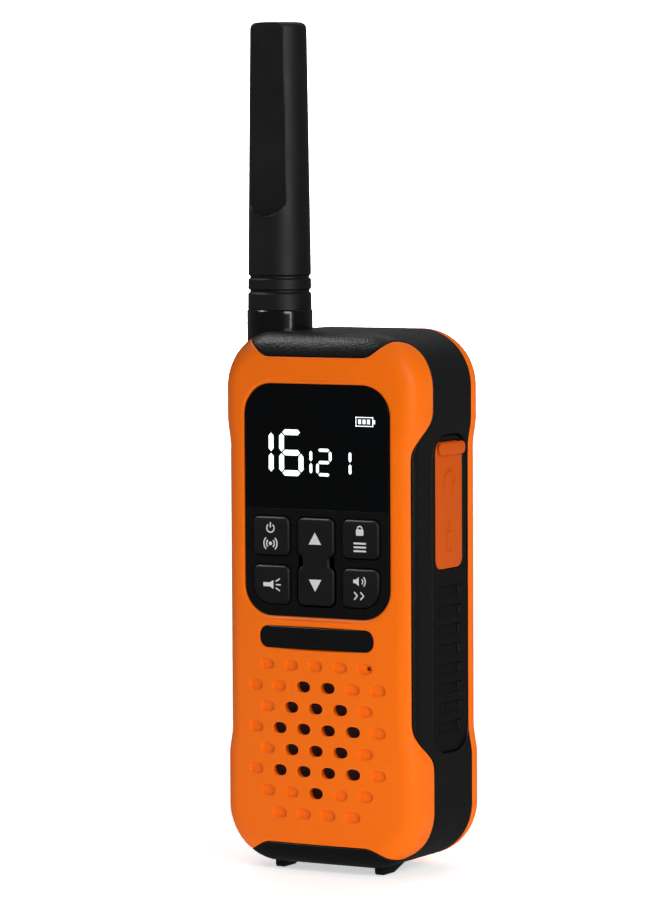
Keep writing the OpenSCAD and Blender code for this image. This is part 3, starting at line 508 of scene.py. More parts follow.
@dataclass(frozen=True)
class Finish:
    """A material named for what the part is made of.

    Grain sizes are millimetres. Heights are millimetres of relief.
    """

    name: str
    colour: str
    shade: str
    roughness: float
    grain: Grain = Grain.SATIN
    grain_mm: float = 0.3
    height_mm: float = 0.01
    rough_spread: float = 0.08
    mottle_mm: float = 9.0
    mottle: float = 0.25
    ior: float = 1.5
    metallic: float = 0.0
    coat: float = 0.0
    sheen: float = 0.0
    subsurface: float = 0.0
    specular: float = 0.5
    transmission: float = 0.0
    alpha: float = 1.0
    glow: float = 0.0

    def make(self) -> bpy.types.Material:
        """Builds the node material, once.

        Returns:
            The material.
        """
        done = bpy.data.materials.get(self.name)
        if done:
            return done
        mat = bpy.data.materials.new(self.name)
        mat.use_nodes = True
        tree = mat.node_tree
        tree.nodes.clear()
        place = add_node(tree, "ShaderNodeTexCoord").outputs["Object"]
        stretch = (1.0, 1.0, 14.0) if self.grain is Grain.BRUSHED else (1.0, 1.0, 1.0)
        turned = add_node(tree, "ShaderNodeMapping", {"Vector": place, "Scale": stretch}).outputs[0]
        fine = self.fine_pattern(tree, turned)
        broad = add_node(
            tree,
            "ShaderNodeTexNoise",
            {"Vector": place, "Scale": 1 / (self.mottle_mm * MM), "Detail": 3.0, "Roughness": 0.6},
        ).outputs[0]
        mix_by = add_node(
            tree,
            "ShaderNodeMath",
            {0: fine, 1: broad},
            operation="MULTIPLY",
        ).outputs[0]
        share = add_node(
            tree,
            "ShaderNodeMapRange",
            {0: mix_by, 1: 0.1, 2: 0.45, 3: 0.0, 4: self.mottle},
        ).outputs[0]
        colour = add_node(
            tree,
            "ShaderNodeMix",
            {0: share, 6: linear(self.colour), 7: linear(self.shade)},
            data_type="RGBA",
        ).outputs[2]
        rough = add_node(
            tree,
            "ShaderNodeMapRange",
            {
                0: broad,
                1: 0.3,
                2: 0.7,
                3: max(0.02, self.roughness - self.rough_spread),
                4: min(1.0, self.roughness + self.rough_spread),
            },
        ).outputs[0]
        bump = add_node(
            tree,
            "ShaderNodeBump",
            {"Strength": 1.0, "Distance": self.height_mm * MM, "Height": fine},
        ).outputs[0]
        shader = add_node(
            tree,
            "ShaderNodeBsdfPrincipled",
            {
                "Base Color": colour,
                "Roughness": rough,
                "Normal": bump,
                "Metallic": self.metallic,
                "IOR": self.ior,
                "Alpha": self.alpha,
                "Coat Weight": self.coat,
                "Coat Roughness": 0.06,
                "Sheen Weight": self.sheen,
                "Subsurface Weight": self.subsurface,
                "Subsurface Scale": 0.0012,
                "Specular IOR Level": self.specular,
                "Transmission Weight": self.transmission,
            },
        )
        if self.glow:
            shader.inputs["Emission Color"].default_value = linear(self.colour)
            shader.inputs["Emission Strength"].default_value = self.glow
        add_node(tree, "ShaderNodeOutputMaterial", {"Surface": shader.outputs[0]})
        return mat

    def fine_pattern(self, tree: bpy.types.NodeTree, vector: bpy.types.NodeSocket) -> bpy.types.NodeSocket:
        """Adds the small relief of the grain.

        Args:
            tree: the material's tree.
            vector: coordinates to read.

        Returns:
            A height from 0 to 1.
        """
        scale = 1 / (self.grain_mm * MM)
        if self.grain is Grain.SPARK:
            pits = add_node(tree, "ShaderNodeTexVoronoi", {"Vector": vector, "Scale": scale, "Randomness": 1.0})
            rough = add_node(
                tree, "ShaderNodeTexNoise", {"Vector": vector, "Scale": scale * 1.7, "Detail": 2.0}
            )
            return add_node(
                tree, "ShaderNodeMath", {0: pits.outputs[0], 1: rough.outputs[0]}, operation="ADD"
            ).outputs[0]
        detail = {Grain.POLISHED: 1.0, Grain.FIBRE: 6.0}.get(self.grain, 4.0)
        return add_node(
            tree,
            "ShaderNodeTexNoise",
            {"Vector": vector, "Scale": scale, "Detail": detail, "Roughness": 0.65},
        ).outputs[0]


# Orange ABS from a fine spark-eroded mould: a soft, even satin with a faint sparkle
ORANGE_ABS = Finish(
    "moulded_orange_abs", "#FA7300", "#EE6400", 0.44, Grain.SPARK, 0.34, 0.012, 0.05, 14.0, 0.35, specular=0.15
)
# Orange silicone of the flap: softer and duller than the shell; its darker orange is partly painted shade, standing in
# for the side that faces away from the key light
ORANGE_SILICONE_PAINTED_SHADE = Finish(
    "moulded_orange_silicone", "#CC5200", "#B84600", 0.58, Grain.SATIN, 0.3, 0.008, 0.06, 6.0, 0.3, specular=0.14
)
# Black glass-filled nylon of the frame: fine dark satin whose bloom shows where light grazes it
BLACK_NYLON = Finish(
    "moulded_black_nylon", "#0A0B0B", "#111313", 0.4, Grain.SPARK, 0.45, 0.06, 0.08, 10.0, 0.5, specular=0.2
)
# Black ABS polished in the mould: near mirror, with the slight waves of a moulded surface
BLACK_GLOSS = Finish(
    "polished_black_abs", "#070808", "#0C0C0D", 0.16, Grain.POLISHED, 3.0, 0.006, 0.03, 8.0, 0.3, specular=0.4
)
# Thermoplastic polyurethane over the antenna: even, dark and dull
ANTENNA_TPU = Finish(
    "moulded_antenna_tpu", "#0E0F0D", "#151612", 0.5, Grain.SATIN, 0.32, 0.012, 0.07, 12.0, 0.4, specular=0.24
)
# Thermoplastic rubber of the grips: dull and dark
GRIP_TPE = Finish(
    "moulded_grip_tpe", "#090B0A", "#101312", 0.5, Grain.SATIN, 0.28, 0.012, 0.06, 7.0, 0.4, specular=0.2
)
# Acrylic window printed black behind: a clear glossy face with no grain
SMOKED_ACRYLIC = Finish(
    "polished_smoked_acrylic", "#020304", "#030508", 0.08, Grain.POLISHED, 6.0, 0.002, 0.02, 20.0, 0.3, specular=0.22
)
# Black ABS of the key panel: almost as glossy as the window
PANEL_ABS = Finish(
    "moulded_panel_abs", "#070808", "#0C0E0D", 0.24, Grain.SPARK, 0.3, 0.003, 0.04, 6.0, 0.4, specular=0.26
)
# Silicone keys with a lacquer: near black, smooth, slightly shiny
KEY_SILICONE = Finish(
    "lacquered_key_silicone", "#0F100F", "#161716", 0.45, Grain.SATIN, 0.3, 0.006, 0.05, 4.0, 0.4, specular=0.25
)
# White pad-printed ink: thin and slightly uneven
WHITE_INK = Finish("pad_printed_ink", "#D9DCDA", "#B9BDBB", 0.5, Grain.CAST, 0.2, 0.002, 0.08, 1.2, 0.5)
# Lit bars of the display: cool white light through a diffuser
LIT_BARS = Finish("lit_display_bars", "#F4FBFF", "#E6F2F8", 0.5, Grain.CAST, 0.4, 0.0, 0.05, 1.0, 0.3, glow=0.9)
DISPLAY_FILM = Finish("display_film", "#020304", "#04070A", 0.22, Grain.POLISHED, 4.0, 0.001, 0.04, 8.0, 0.4)
DIFFUSER = Finish("moulded_diffuser_acrylic", "#D5DADC", "#BFC5C8", 0.5, Grain.SATIN, 0.4, 0.004, 0.05, 4.0, 0.4)
GREY_SILICONE = Finish("moulded_grey_silicone", "#3A3D40", "#2E3134", 0.6, Grain.SATIN, 0.3, 0.006, 0.05, 5.0, 0.4)
BOARD = Finish("solder_masked_board", "#12452A", "#0C3320", 0.35, Grain.FIBRE, 0.7, 0.01, 0.08, 3.0, 0.6, coat=0.2)
BLACK_PBT = Finish("moulded_black_pbt", "#17191A", "#222526", 0.48, Grain.SPARK, 0.3, 0.01, 0.06, 5.0, 0.4)
STEEL = Finish(
    "plated_steel", "#B9BBBD", "#8E9194", 0.3, Grain.BRUSHED, 0.25, 0.004, 0.08, 3.0, 0.5, metallic=1.0
)
BRASS = Finish("turned_brass", "#C9A24E", "#A8823A", 0.28, Grain.BRUSHED, 0.25, 0.004, 0.08, 3.0, 0.5, metallic=1.0)
COPPER = Finish("enamelled_copper", "#B4683A", "#8F4C26", 0.3, Grain.BRUSHED, 0.3, 0.003, 0.06, 2.0, 0.5, metallic=1.0)
MAGNET = Finish("zinc_plated_magnet", "#8B8E92", "#6B6E72", 0.38, Grain.CAST, 0.4, 0.01, 0.08, 3.0, 0.6, metallic=1.0)
PAPER = Finish("treated_paper", "#2A2A2B", "#383839", 0.85, Grain.FIBRE, 0.4, 0.03, 0.05, 2.0, 0.5)
CLEAR = Finish(
    "moulded_clear_polycarbonate", "#E4ECEF", "#D3DDE2", 0.08, Grain.POLISHED, 5.0, 0.002, 0.03, 8.0, 0.3, ior=1.58,
    transmission=0.85,
)
LED = Finish("led_phosphor", "#E9D84A", "#F1EFE2", 0.4, Grain.CAST, 0.5, 0.01, 0.05, 1.5, 0.5)
CELL_WRAP = Finish("printed_cell_wrap", "#2F7A4C", "#25603C", 0.3, Grain.POLISHED, 3.0, 0.004, 0.05, 6.0, 0.4)
NYLON_FORMER = Finish("natural_nylon", "#D6D1C2", "#C2BCA9", 0.5, Grain.SATIN, 0.4, 0.006, 0.05, 4.0, 0.4)

CARRIED_OVER: dict[str, Finish] = {
    "case_seal": GREY_SILICONE,
    "lcd_panel": DISPLAY_FILM,
    "backlight": DIFFUSER,
    "key_mat": GREY_SILICONE,
    "key_switches": STEEL,
    "main_board": BOARD,
    "board_screws": STEEL,
    "shield_can": STEEL,
    "board_headers": BLACK_PBT,
    "speaker_basket": STEEL,
    "speaker_cone": PAPER,
    "speaker_magnet": MAGNET,
    "speaker_gauze": PAPER,
    "microphone": STEEL,
    "microphone_boot": GREY_SILICONE,
    "lamp_lens": CLEAR,
    "lamp_led": LED,
    "antenna_nut": BRASS,
    "antenna_pin": BRASS,
    "antenna_former": NYLON_FORMER,
    "antenna_coil": COPPER,
    "antenna_feed": BRASS,
    "port_board": BOARD,
    "usb_socket": STEEL,
    "headset_jack": BLACK_PBT,
    "talk_board": BOARD,
    "talk_switch": BLACK_PBT,
    "battery_tray": BLACK_PBT,
    "battery_cells": CELL_WRAP,
    "battery_springs": STEEL,
    "battery_tabs": STEEL,
    "clip_base": BLACK_NYLON,
    "clip_pin": STEEL,
    "clip_spring": STEEL,
}


def dress(obj: bpy.types.Object, finish: Finish) -> None:
    """Gives an object one finish."""
    obj.data.materials.clear()
    obj.data.materials.append(finish.make())
    for polygon in obj.data.polygons:
        polygon.material_index = 0


def hand_over(
    obj: bpy.types.Object, body: str, finish: Finish, stands_for: Sequence[str] = ()
) -> bpy.types.Object:
    """Dresses a finished piece, hangs it on its body and hides the CAD nodes it stands for.

    Args:
        obj: the piece.
        body: CAD body it rides on.
        finish: its material.
        stands_for: CAD nodes that it replaces.

    Returns:
        The same piece.
    """
    dress(obj, finish)
    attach(obj, body)
    if stands_for:
        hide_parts(*stands_for)
    log.info("%s: %d faces on %s", obj.name, len(obj.data.polygons), body)
    return obj


# ---- repeats ----


class Repeater:
    """Geometry Nodes that set one shape at every point of a mesh and turn it to a crown."""

    tree_name = "set_at_points"

    @classmethod
    def tree(cls) -> bpy.types.NodeTree:
        """Builds the tree, once.

        Returns:
            The node group with inputs Shape, Crown radius, Size and Finish.
        """
        done = bpy.data.node_groups.get(cls.tree_name)
        if done:
            return done
        tree = bpy.data.node_groups.new(cls.tree_name, "GeometryNodeTree")
        face = tree.interface
        face.new_socket("Geometry", in_out="INPUT", socket_type="NodeSocketGeometry")
        face.new_socket("Shape", in_out="INPUT", socket_type="NodeSocketObject")
        face.new_socket("Crown radius", in_out="INPUT", socket_type="NodeSocketFloat")
        face.new_socket("Size", in_out="INPUT", socket_type="NodeSocketFloat")
        face.new_socket("Finish", in_out="INPUT", socket_type="NodeSocketMaterial")
        face.new_socket("Geometry", in_out="OUTPUT", socket_type="NodeSocketGeometry")
        given = add_node(tree, "NodeGroupInput").outputs
        shape = add_node(tree, "GeometryNodeObjectInfo", {"Object": given["Shape"], "As Instance": True})
        place = add_node(tree, "GeometryNodeInputPosition").outputs[0]
        across = add_node(tree, "ShaderNodeSeparateXYZ", {0: place}).outputs[0]
        slope = add_node(tree, "ShaderNodeMath", {0: across, 1: given["Crown radius"]}, operation="DIVIDE").outputs[0]
        angle = add_node(tree, "ShaderNodeMath", {0: slope}, operation="ARCSINE").outputs[0]
        turn = add_node(tree, "ShaderNodeCombineXYZ", {2: angle}).outputs[0]
        size = add_node(
            tree, "ShaderNodeCombineXYZ", {0: given["Size"], 1: given["Size"], 2: given["Size"]}
        ).outputs[0]
        placed = add_node(
            tree,
            "GeometryNodeInstanceOnPoints",
            {"Points": given["Geometry"], "Instance": shape.outputs["Geometry"], "Rotation": turn, "Scale": size},
        ).outputs[0]
        real = add_node(tree, "GeometryNodeRealizeInstances", {0: placed}).outputs[0]
        dressed = add_node(
            tree, "GeometryNodeSetMaterial", {"Geometry": real, "Material": given["Finish"]}
        ).outputs[0]
        add_node(tree, "NodeGroupOutput", {0: dressed})
        return tree

    @classmethod
    def spread(
        cls,
        name: str,
        shape: bpy.types.Object,
        spots: Sequence[Sequence[float]],
        finish: Finish,
        crown_r: float = 1e9,
        smooth: float = 30.0,
    ) -> bpy.types.Object:
        """Makes one plain mesh with the shape at every spot.

        Args:
            name: name of the new piece.
            shape: the repeated shape, modelled round the origin, and removed afterwards.
            spots: centres as across, depth and height.
            finish: material of the copies.
            crown_r: radius of the crown that the copies turn with.
            smooth: largest angle in degrees that still shades smooth.

        Returns:
            The new object.
        """
        points = np.array(spots, dtype=float)
        points[:, 1] += Site.window_y
        mesh = bpy.data.meshes.new(name)
        mesh.from_pydata((points * MM).tolist(), [], [])
        obj = bpy.data.objects.new(name, mesh)
        bpy.context.scene.collection.objects.link(obj)
        mod = obj.modifiers.new("spread", "NODES")
        mod.node_group = cls.tree()
        values = {"Shape": shape, "Crown radius": crown_r * MM, "Size": 1.0, "Finish": finish.make()}
        for item in mod.node_group.interface.items_tree:
            if item.item_type == "SOCKET" and item.in_out == "INPUT" and item.name in values:
                mod[item.identifier] = values[item.name]
        bake_modifiers(obj)
        drop([shape])
        tidy_mesh(obj.data, smooth)
        return obj


def at_origin(shell: Shell, name: str) -> bpy.types.Object:
    """Builds a shape round the origin, for the repeater to spread."""
    for point in shell.points:
        point[1] -= Site.window_y
    return shell.build(name)


# ---- body ----


@dataclass(frozen=True)
class BodyForm:
    """The outer form of the body as one surface over the way round and the way from face to back."""

    side_x: float
    bottom: float
    top: float
    back_d: float
    corner_r: float = 12.8
    edge_side: float = 4.0
    edge_top: float = 5.5
    edge_depth: float = 5.0
    crown_r: float = 180.0
    crown_h: float = 1.0
    waist_inset: float = 0.85
    waist_ramp: float = 6.9
    wall_in: float = 3.4
    top_in: float = 2.0
    columns: int = 14
    corner_steps: int = 40
    roll_length: float = 7.0
    flat_length: float = 3.0

    @property
    def wall_length(self) -> float:
        """Length of the straight wall between the two rolls."""
        return self.back_d - self.edge_depth - (self.edge_depth - self.crown_h)

    def way_at(self, depth: float) -> Points:
        """The way at which every line of the ring reaches a depth on the wall or the back roll."""
        start = self.roll_length + self.wall_length
        past = depth - (self.back_d - self.edge_depth)
        if past <= 0:
            way = start + past
        else:
            way = start + self.roll_length * math.asin(min(1.0, past / self.edge_depth)) * 2 / math.pi
        return np.full(len(self.base), way)

    def crown(self, x: Points, z: Points | None = None) -> Points:
        """Depth of the crowned face at a distance from the middle."""
        return self.crown_r - self.crown_h - np.sqrt(self.crown_r**2 - np.asarray(x) ** 2)

    def waist(self, z: Points) -> Points:
        """How far the side is drawn in at a height."""
        low, high = self.bottom + 23.4, self.top - 19.4
        up = np.clip((z - low) / self.waist_ramp, 0, 1)
        down = np.clip((high - z) / self.waist_ramp, 0, 1)
        return self.waist_inset * up * up * (3 - 2 * up) * down * down * (3 - 2 * down)

    def side(self, depth: Points, z: Points) -> Points:
        """Distance of the side wall from the middle."""
        return self.side_x - self.waist(z)

    @cached_property
    def rows(self) -> Points:
        """Angle and centre height of the right side's points, from the bottom to the top."""
        c0, c1 = self.bottom + self.corner_r, self.top - self.corner_r
        lower = [(a, c0) for a in np.linspace(-90, 0, self.corner_steps + 1)]
        upper = [(a, c1) for a in np.linspace(0, 90, self.corner_steps + 1)]
        knots = [c0, self.bottom + 22.0, self.bottom + 33.5, self.top - 29.0, self.top - 17.5, c1]
        counts = [6, 22, 24, 22, 5]
        middle = [
            (0.0, z)
            for a, b, n in zip(knots, knots[1:], counts)
            for z in np.linspace(a, b, n, endpoint=False)
        ][1:]
        return np.array(lower + middle + upper)

    @cached_property
    def base(self) -> Points:
        """Rows of start across, start height, and how both move with the corner radius."""
        cx = self.side_x - self.corner_r
        f = np.linspace(-1, 1, 2 * self.columns + 1)
        flat = np.zeros_like(f)
        c0, c1 = self.rows[0, 1], self.rows[-1, 1]
        inner = self.rows[1:-1]
        a = np.radians(inner[:, 0])
        right = np.stack([cx - self.waist(inner[:, 1]), inner[:, 1], np.cos(a), np.sin(a)], axis=1)
        left = right[::-1] * np.array([-1, 1, -1, 1])
        bottom = np.stack([f * cx, flat + c0, flat, flat - 1], axis=1)
        top = np.stack([-f * cx, flat + c1, flat, flat + 1], axis=1)
        return np.concatenate([bottom, right, top, left])

    def ring(self, es: Points | float, et: Points | float, depth: Points | float) -> Points:
        """The outline drawn in by es at the sides and et at the ends, at a depth."""
        ax, az, ux, uz = self.base.T
        x = ax + (self.corner_r - es) * ux
        z = az + (self.corner_r - et) * uz
        return np.stack([x, np.broadcast_to(depth, x.shape), z], axis=1)

    def skin(self, way: Points) -> Points:
        """The point that lies a given way from the roll of the face towards the back.

        Args:
            way: millimetres along the surface for every point of the ring, 0 where the roll starts.

        Returns:
            One point for every point of the ring.
        """
        way = np.broadcast_to(way, (len(self.base),)).astype(float)
        back_start = self.roll_length + self.wall_length
        flat = np.clip(-way, 0, None)
        front = np.clip(way / self.roll_length, 0, 1) * (np.pi / 2)
        back = np.clip((way - back_start) / self.roll_length, 0, 1) * (np.pi / 2)
        past = np.clip(way - back_start - self.roll_length, 0, None)
        es = self.edge_side * (1 - np.sin(front)) + flat
        et = self.edge_top * (1 - np.sin(front)) + flat
        face_x = self.ring(es, et, 0.0)[:, 0]
        side_x = self.ring(0.0, 0.0, 0.0)[:, 0]
        sag, side_sag = self.crown(face_x), self.crown(side_x)
        drop_to = self.edge_depth - self.crown_h
        depth = sag + (drop_to - side_sag) * (1 - np.cos(front))
        depth += np.clip(way - self.roll_length, 0, self.wall_length) + self.edge_depth * np.sin(back)
        tail = self.edge_side * (1 - np.cos(back)) + past
        return self.ring(es + tail, et + tail, depth)

    def frame_at(self, way: Points) -> tuple[Points, Points, Points, Points]:
        """Point, outward normal and direction across a boundary that runs at a given way.

        Args:
            way: where the boundary crosses every line of the ring.

        Returns:
            Points, normals, directions towards the back, and the way needed for a millimetre across.
        """
        here = self.skin(way)
        along = self.skin(way + 0.02) - self.skin(way - 0.02)
        along /= np.maximum(np.linalg.norm(along, axis=1, keepdims=True), 1e-9)
        normal = np.cross(along, self.around(way))
        normal /= np.maximum(np.linalg.norm(normal, axis=1, keepdims=True), 1e-9)
        edge = np.roll(here, -1, axis=0) - np.roll(here, 1, axis=0)
        across = np.cross(edge, normal)
        across /= np.maximum(np.linalg.norm(across, axis=1, keepdims=True), 1e-9)
        across *= np.where(np.sum(across * along, axis=1, keepdims=True) < 0, -1, 1)
        stretch = 1 / np.clip(np.sum(across * along, axis=1), 0.3, 1)
        return here, normal, across, stretch

    def around(self, way: Points) -> Points:
        """Direction round the body at every point, with the way held still."""
        out = np.zeros((len(self.base), 3))
        rounded = np.round(way, 1)
        for level in np.unique(rounded):
            ring = self.skin(level)
            turn = np.roll(ring, -1, axis=0) - np.roll(ring, 1, axis=0)
            out[rounded == level] = turn[rounded == level]
        return out

    def set_back(self, way: Points, distance: float) -> Points:
        """The way of a line that runs a distance across from a boundary, towards the back if positive."""
        stretch = self.frame_at(way)[3]
        for _ in range(3):
            stretch = np.maximum(stretch, 0.25 * (np.roll(stretch, 1) + np.roll(stretch, -1)) + 0.5 * stretch)
        return way + distance * stretch

    def cap(self, shell: Shell, loop: Sequence[int], depth: Surface, outward: bool) -> None:
        """Closes a ring with a grid of quads over the face or the back.

        Args:
            shell: mesh to add to.
            loop: point numbers of the ring.
            depth: depth of the surface inside.
            outward: whether the grid looks towards the face.
        """
        wide = 2 * self.columns
        m = len(self.rows) - 1
        f = np.linspace(-1, 1, wide + 1)
        top = wide + m
        pts = np.array([shell.points[i] for i in loop])
        grid: list[list[int]] = []
        for i in range(m + 1):
            if i == 0:
                grid.append([loop[j] for j in range(wide + 1)])
            elif i == m:
                grid.append([loop[top + wide - j] for j in range(wide + 1)])
            else:
                x, z = pts[wide + i, 0], pts[wide + i, 2]
                u = f[1:-1] * x
                inner = np.stack([u, depth(u, np.full_like(u, z)), np.full_like(u, z)], axis=1)
                grid.append([loop[(top + wide + m - i) % len(loop)], *shell.add(inner), loop[wide + i]])
        for low, high in zip(grid, grid[1:]):
            for j in range(wide):
                quad = (low[j], low[j + 1], high[j + 1], high[j])
                shell.faces.append(quad if outward else quad[::-1])

    def lip(self, way: Points, towards: float, gap: float, r: float, deep: float, steps: int = 3) -> list[Points]:
        """Loops that round an edge of the skin and run inwards from it.

        Args:
            way: boundary of the skin.
            towards: 1 where the skin ends towards the back, -1 where it starts.
            gap: how far the edge stands back from the boundary.
            r: radius of the edge.
            deep: length of the wall behind the edge.
            steps: faces round the edge.

        Returns:
            Loops from the skin inwards.
        """
        here, normal, across, _ = self.frame_at(way)
        out = across * towards
        edge = here - out * gap
        loops = []
        for i in range(steps + 1):
            a = math.radians(90 * i / steps)
            loops.append(edge - out * (r * (1 - math.sin(a))) - normal * (r * (1 - math.cos(a))))
        loops.append(edge - normal * deep)
        return loops


@dataclass(frozen=True)
class Parting:
    """Where the orange front gives way to the black frame."""

    form: BodyForm
    ear_depth: float = 9.2
    waist_depth: float = 1.85
    ear_margin_top: float = 1.9
    ear_margin_bottom: float = 2.5
    valley_x: float = 12.2
    ear_x: float = 19.4
    valley_drop: float = 5.6
    valley_rise: float = 4.9
    corner: float = 4.0

    def side_limit(self, z: Points) -> Points:
        """Depth of the parting seen from the side, deep round the corners and shallow at the waist."""
        low, high = self.form.bottom + 23.4, self.form.top - 19.4
        heights = np.array(
            [-50, low - 0.6, low + 1.4, low + 5.4, low + 8, high - 7.3, high - 4.8, high - 0.8, high + 1.2, 300]
        )
        share = np.array([1, 1, 0.88, 0.16, 0, 0, 0.16, 0.88, 1, 1])
        spread = np.linspace(-1.3, 1.3, 9)
        mean = np.mean([np.interp(z + s, heights, share) for s in spread], axis=0)
        return self.waist_depth + (self.ear_depth - self.waist_depth) * mean

    def outside(self, p: Points) -> Points:
        """How far points lie outside the orange front, negative inside.

        Args:
            p: points as across, depth and height.

        Returns:
            One number for every point.
        """
        x, d, z = np.abs(p[..., 0]), p[..., 1], p[..., 2]
        top, bottom = self.form.top - self.ear_margin_top, self.form.bottom + self.ear_margin_bottom
        t = np.clip((x - self.valley_x) / (self.ear_x - self.valley_x), 0, 1)
        rise = t * t * (3 - 2 * t)
        v_top, v_bottom = self.form.top - self.valley_drop, self.form.bottom + self.valley_rise
        far = np.where(x > self.ear_x, 1e3, 0)
        worst = np.max(
            [
                d - self.side_limit(z),
                z - top,
                bottom - z,
                z - (v_top + (top + 0.3 - v_top) * rise + far),
                (v_bottom - (v_bottom - bottom + 0.3) * rise - far) - z,
            ],
            axis=0,
        )
        c = self.ear_depth - self.corner
        for zc, way in ((top - self.corner, 1), (bottom + self.corner, -1)):
            in_corner = (d > c) & ((z - zc) * way > 0)
            worst = np.where(in_corner, np.maximum(worst, np.hypot(d - c, z - zc) - self.corner), worst)
        return worst

    @cached_property
    def way(self) -> Points:
        """Way along the skin at which every line of the ring leaves the front."""
        ways = np.arange(-2.8, 18.0, 0.04)
        value = np.array([self.outside(self.form.skin(w)) for w in ways])
        out = value > 0
        first = np.argmax(out, axis=0)
        k = np.arange(len(first))
        a, b = value[np.maximum(first - 1, 0), k], value[first, k]
        exact = ways[np.maximum(first - 1, 0)] + 0.04 * np.where(b > a, -a / np.maximum(b - a, 1e-9), 0)
        for _ in range(2):
            exact = 0.5 * exact + 0.25 * (np.roll(exact, 1) + np.roll(exact, -1))
        return exact


@dataclass
class Grille:
    """Rows of ovals in the face: the middle ones are open, the others are dimples."""

    top_z: float
    pitch_x: float = 6.25
    pitch_z: float = 4.75
    width: float = 3.6
    height: float = 2.6
    dimple_depth: float = 0.62
    rows: tuple[tuple[int, int], ...] = ((5, 0), (6, 2), (5, 3), (6, 4), (5, 3), (6, 4), (5, 1), (4, 0))

    def spots(self, form: BodyForm, open_holes: bool) -> list[tuple[float, float, float]]:
        """Centres of the open holes or of the dimples.

        Args:
            form: the body, for its crown.
            open_holes: which of the two.

        Returns:
            Centres on the face.
        """
        found = []
        for row, (total, holes) in enumerate(self.rows):
            for i in range(total):
                first = (total - holes) // 2
                x = (i - (total - 1) / 2) * self.pitch_x
                if row == 4 + 2 and holes == 1:
                    first = 2
                if (first <= i < first + holes) == open_holes:
                    found.append((x, float(form.crown(x)), self.top_z - row * self.pitch_z))
        return found

    def cutter(self, form: BodyForm, open_holes: bool) -> bpy.types.Object:
        """Makes the cutter of all open holes, or of all dimples.

        Args:
            form: the body.
            open_holes: which of the two.

        Returns:
            One object with every oval.
        """
        shell = Shell()
        shape = oval(0, 0, self.width, self.height - 0.1)
        if open_holes:
            levels = [Level(0.5, 4.0), Level(0.5, 0.5), Level(0, 0.5)]
        else:
            d = self.dimple_depth
            levels = [Level(-0.45, d), Level(-0.2, d - 0.03), Level(-0.06, d - 0.12), Level(0, d - 0.26)]
        r = 0.14
        for i in range(4):
            a = math.radians(30 * i)
            levels.append(Level(r * (1 - math.cos(a)), r * (1 - math.sin(a))))
        levels += [Level(r + 0.04, -0.04), Level(r + 0.04, -2.0)]
        sweep(shell, shape, levels, Axis.DEPTH)
        piece = at_origin(shell, "oval_cutter")
        return Repeater.spread("ovals", piece, self.spots(form, open_holes), ORANGE_ABS, form.crown_r)


@dataclass
class FaceShell:
    """The orange front: crowned face, rolled edges, window recess, plate recess and grille."""

    form: BodyForm
    parting: Parting
    panel: Box
    plate: Box
    grille: Grille
    collar: Box
    edge_r: float = 0.32
    rows: int = 20

    def build(self) -> bpy.types.Object:
        """Builds the shell and carves its openings.

        Returns:
            The finished piece.
        """
        form, shell = self.form, Shell()
        end = self.parting.way
        start = -form.flat_length
        stop = form.set_back(end, -1.8 * self.edge_r)
        loops = [form.skin(start + (stop - start) * t) for t in np.linspace(0, 1, self.rows)]
        loops += form.lip(end, 1.0, 0.0, self.edge_r, 0.95)
        inset = form.edge_side + form.flat_length
        loops.append(form.ring(inset, form.edge_top + form.flat_length, 1.6))
        rings = [shell.add(loop) for loop in loops]
        for a, b in zip(rings, rings[1:]):
            shell.wall(a, b)
        form.cap(shell, rings[0], form.crown, True)
        form.cap(shell, rings[-1], lambda u, v: np.full_like(u, 1.6), False)
        obj = shell.build("front_shell_moulding", 40)
        cut(obj, self.cutters(), smooth=34)
        weigh_normals(obj)
        return obj

    def cutters(self) -> list[bpy.types.Object]:
        """Makes the cutters of the window, the plate, the grille, the microphone and the collar."""
        p, q = self.panel, self.plate
        tools = Shell()
        window = round_box(p.x0 - 0.08, p.x1 + 0.08, p.z0 - 0.08, p.z1 + 0.08, 6.9, 14)
        sweep(tools, window, flared_levels(1.0, 0.85, -1, -8, 6), Axis.DEPTH, self.form.crown)
        rest = round_box(q.x0 - 0.12, q.x1 + 0.12, q.z0 - 0.12, q.z1 + 0.12, 2.2, 10)
        sweep(tools, rest, flared_levels(0.4, 0.2, -1, -8), Axis.DEPTH, self.form.crown)
        openings = Shell()
        through = rows_of((0, 0.5), (0, 3))
        sweep(openings, round_box(p.x0 + 1.6, p.x1 - 1.6, p.cz + 1.2, p.z1 - 2.6, 0.9), through, Axis.DEPTH)
        sweep(openings, round_box(p.x0 + 1.6, p.x1 - 1.6, p.z0 + 1.6, p.cz - 2.2, 2.3), through, Axis.DEPTH)
        mic = Shell()
        turn = oval(13.1, self.grille.top_z, 1.0, 1.0, 20)
        sweep(mic, turn, flared_levels(4.0, 0.12, -1, -8, 2), Axis.DEPTH, self.form.crown)
        bore = Shell()
        c = self.collar
        revolve(bore, c.cx, c.cd, [(c.x1 - c.cx + 0.06, c.z0 - 20), (c.x1 - c.cx + 0.06, c.z1 + 10)])
        return [
            tools.build("window_cutter"),
            openings.build("opening_cutter"),
            self.grille.cutter(self.form, True),
            self.grille.cutter(self.form, False),
            mic.build("mic_cutter"),
            bore.build("collar_cutter"),
        ]


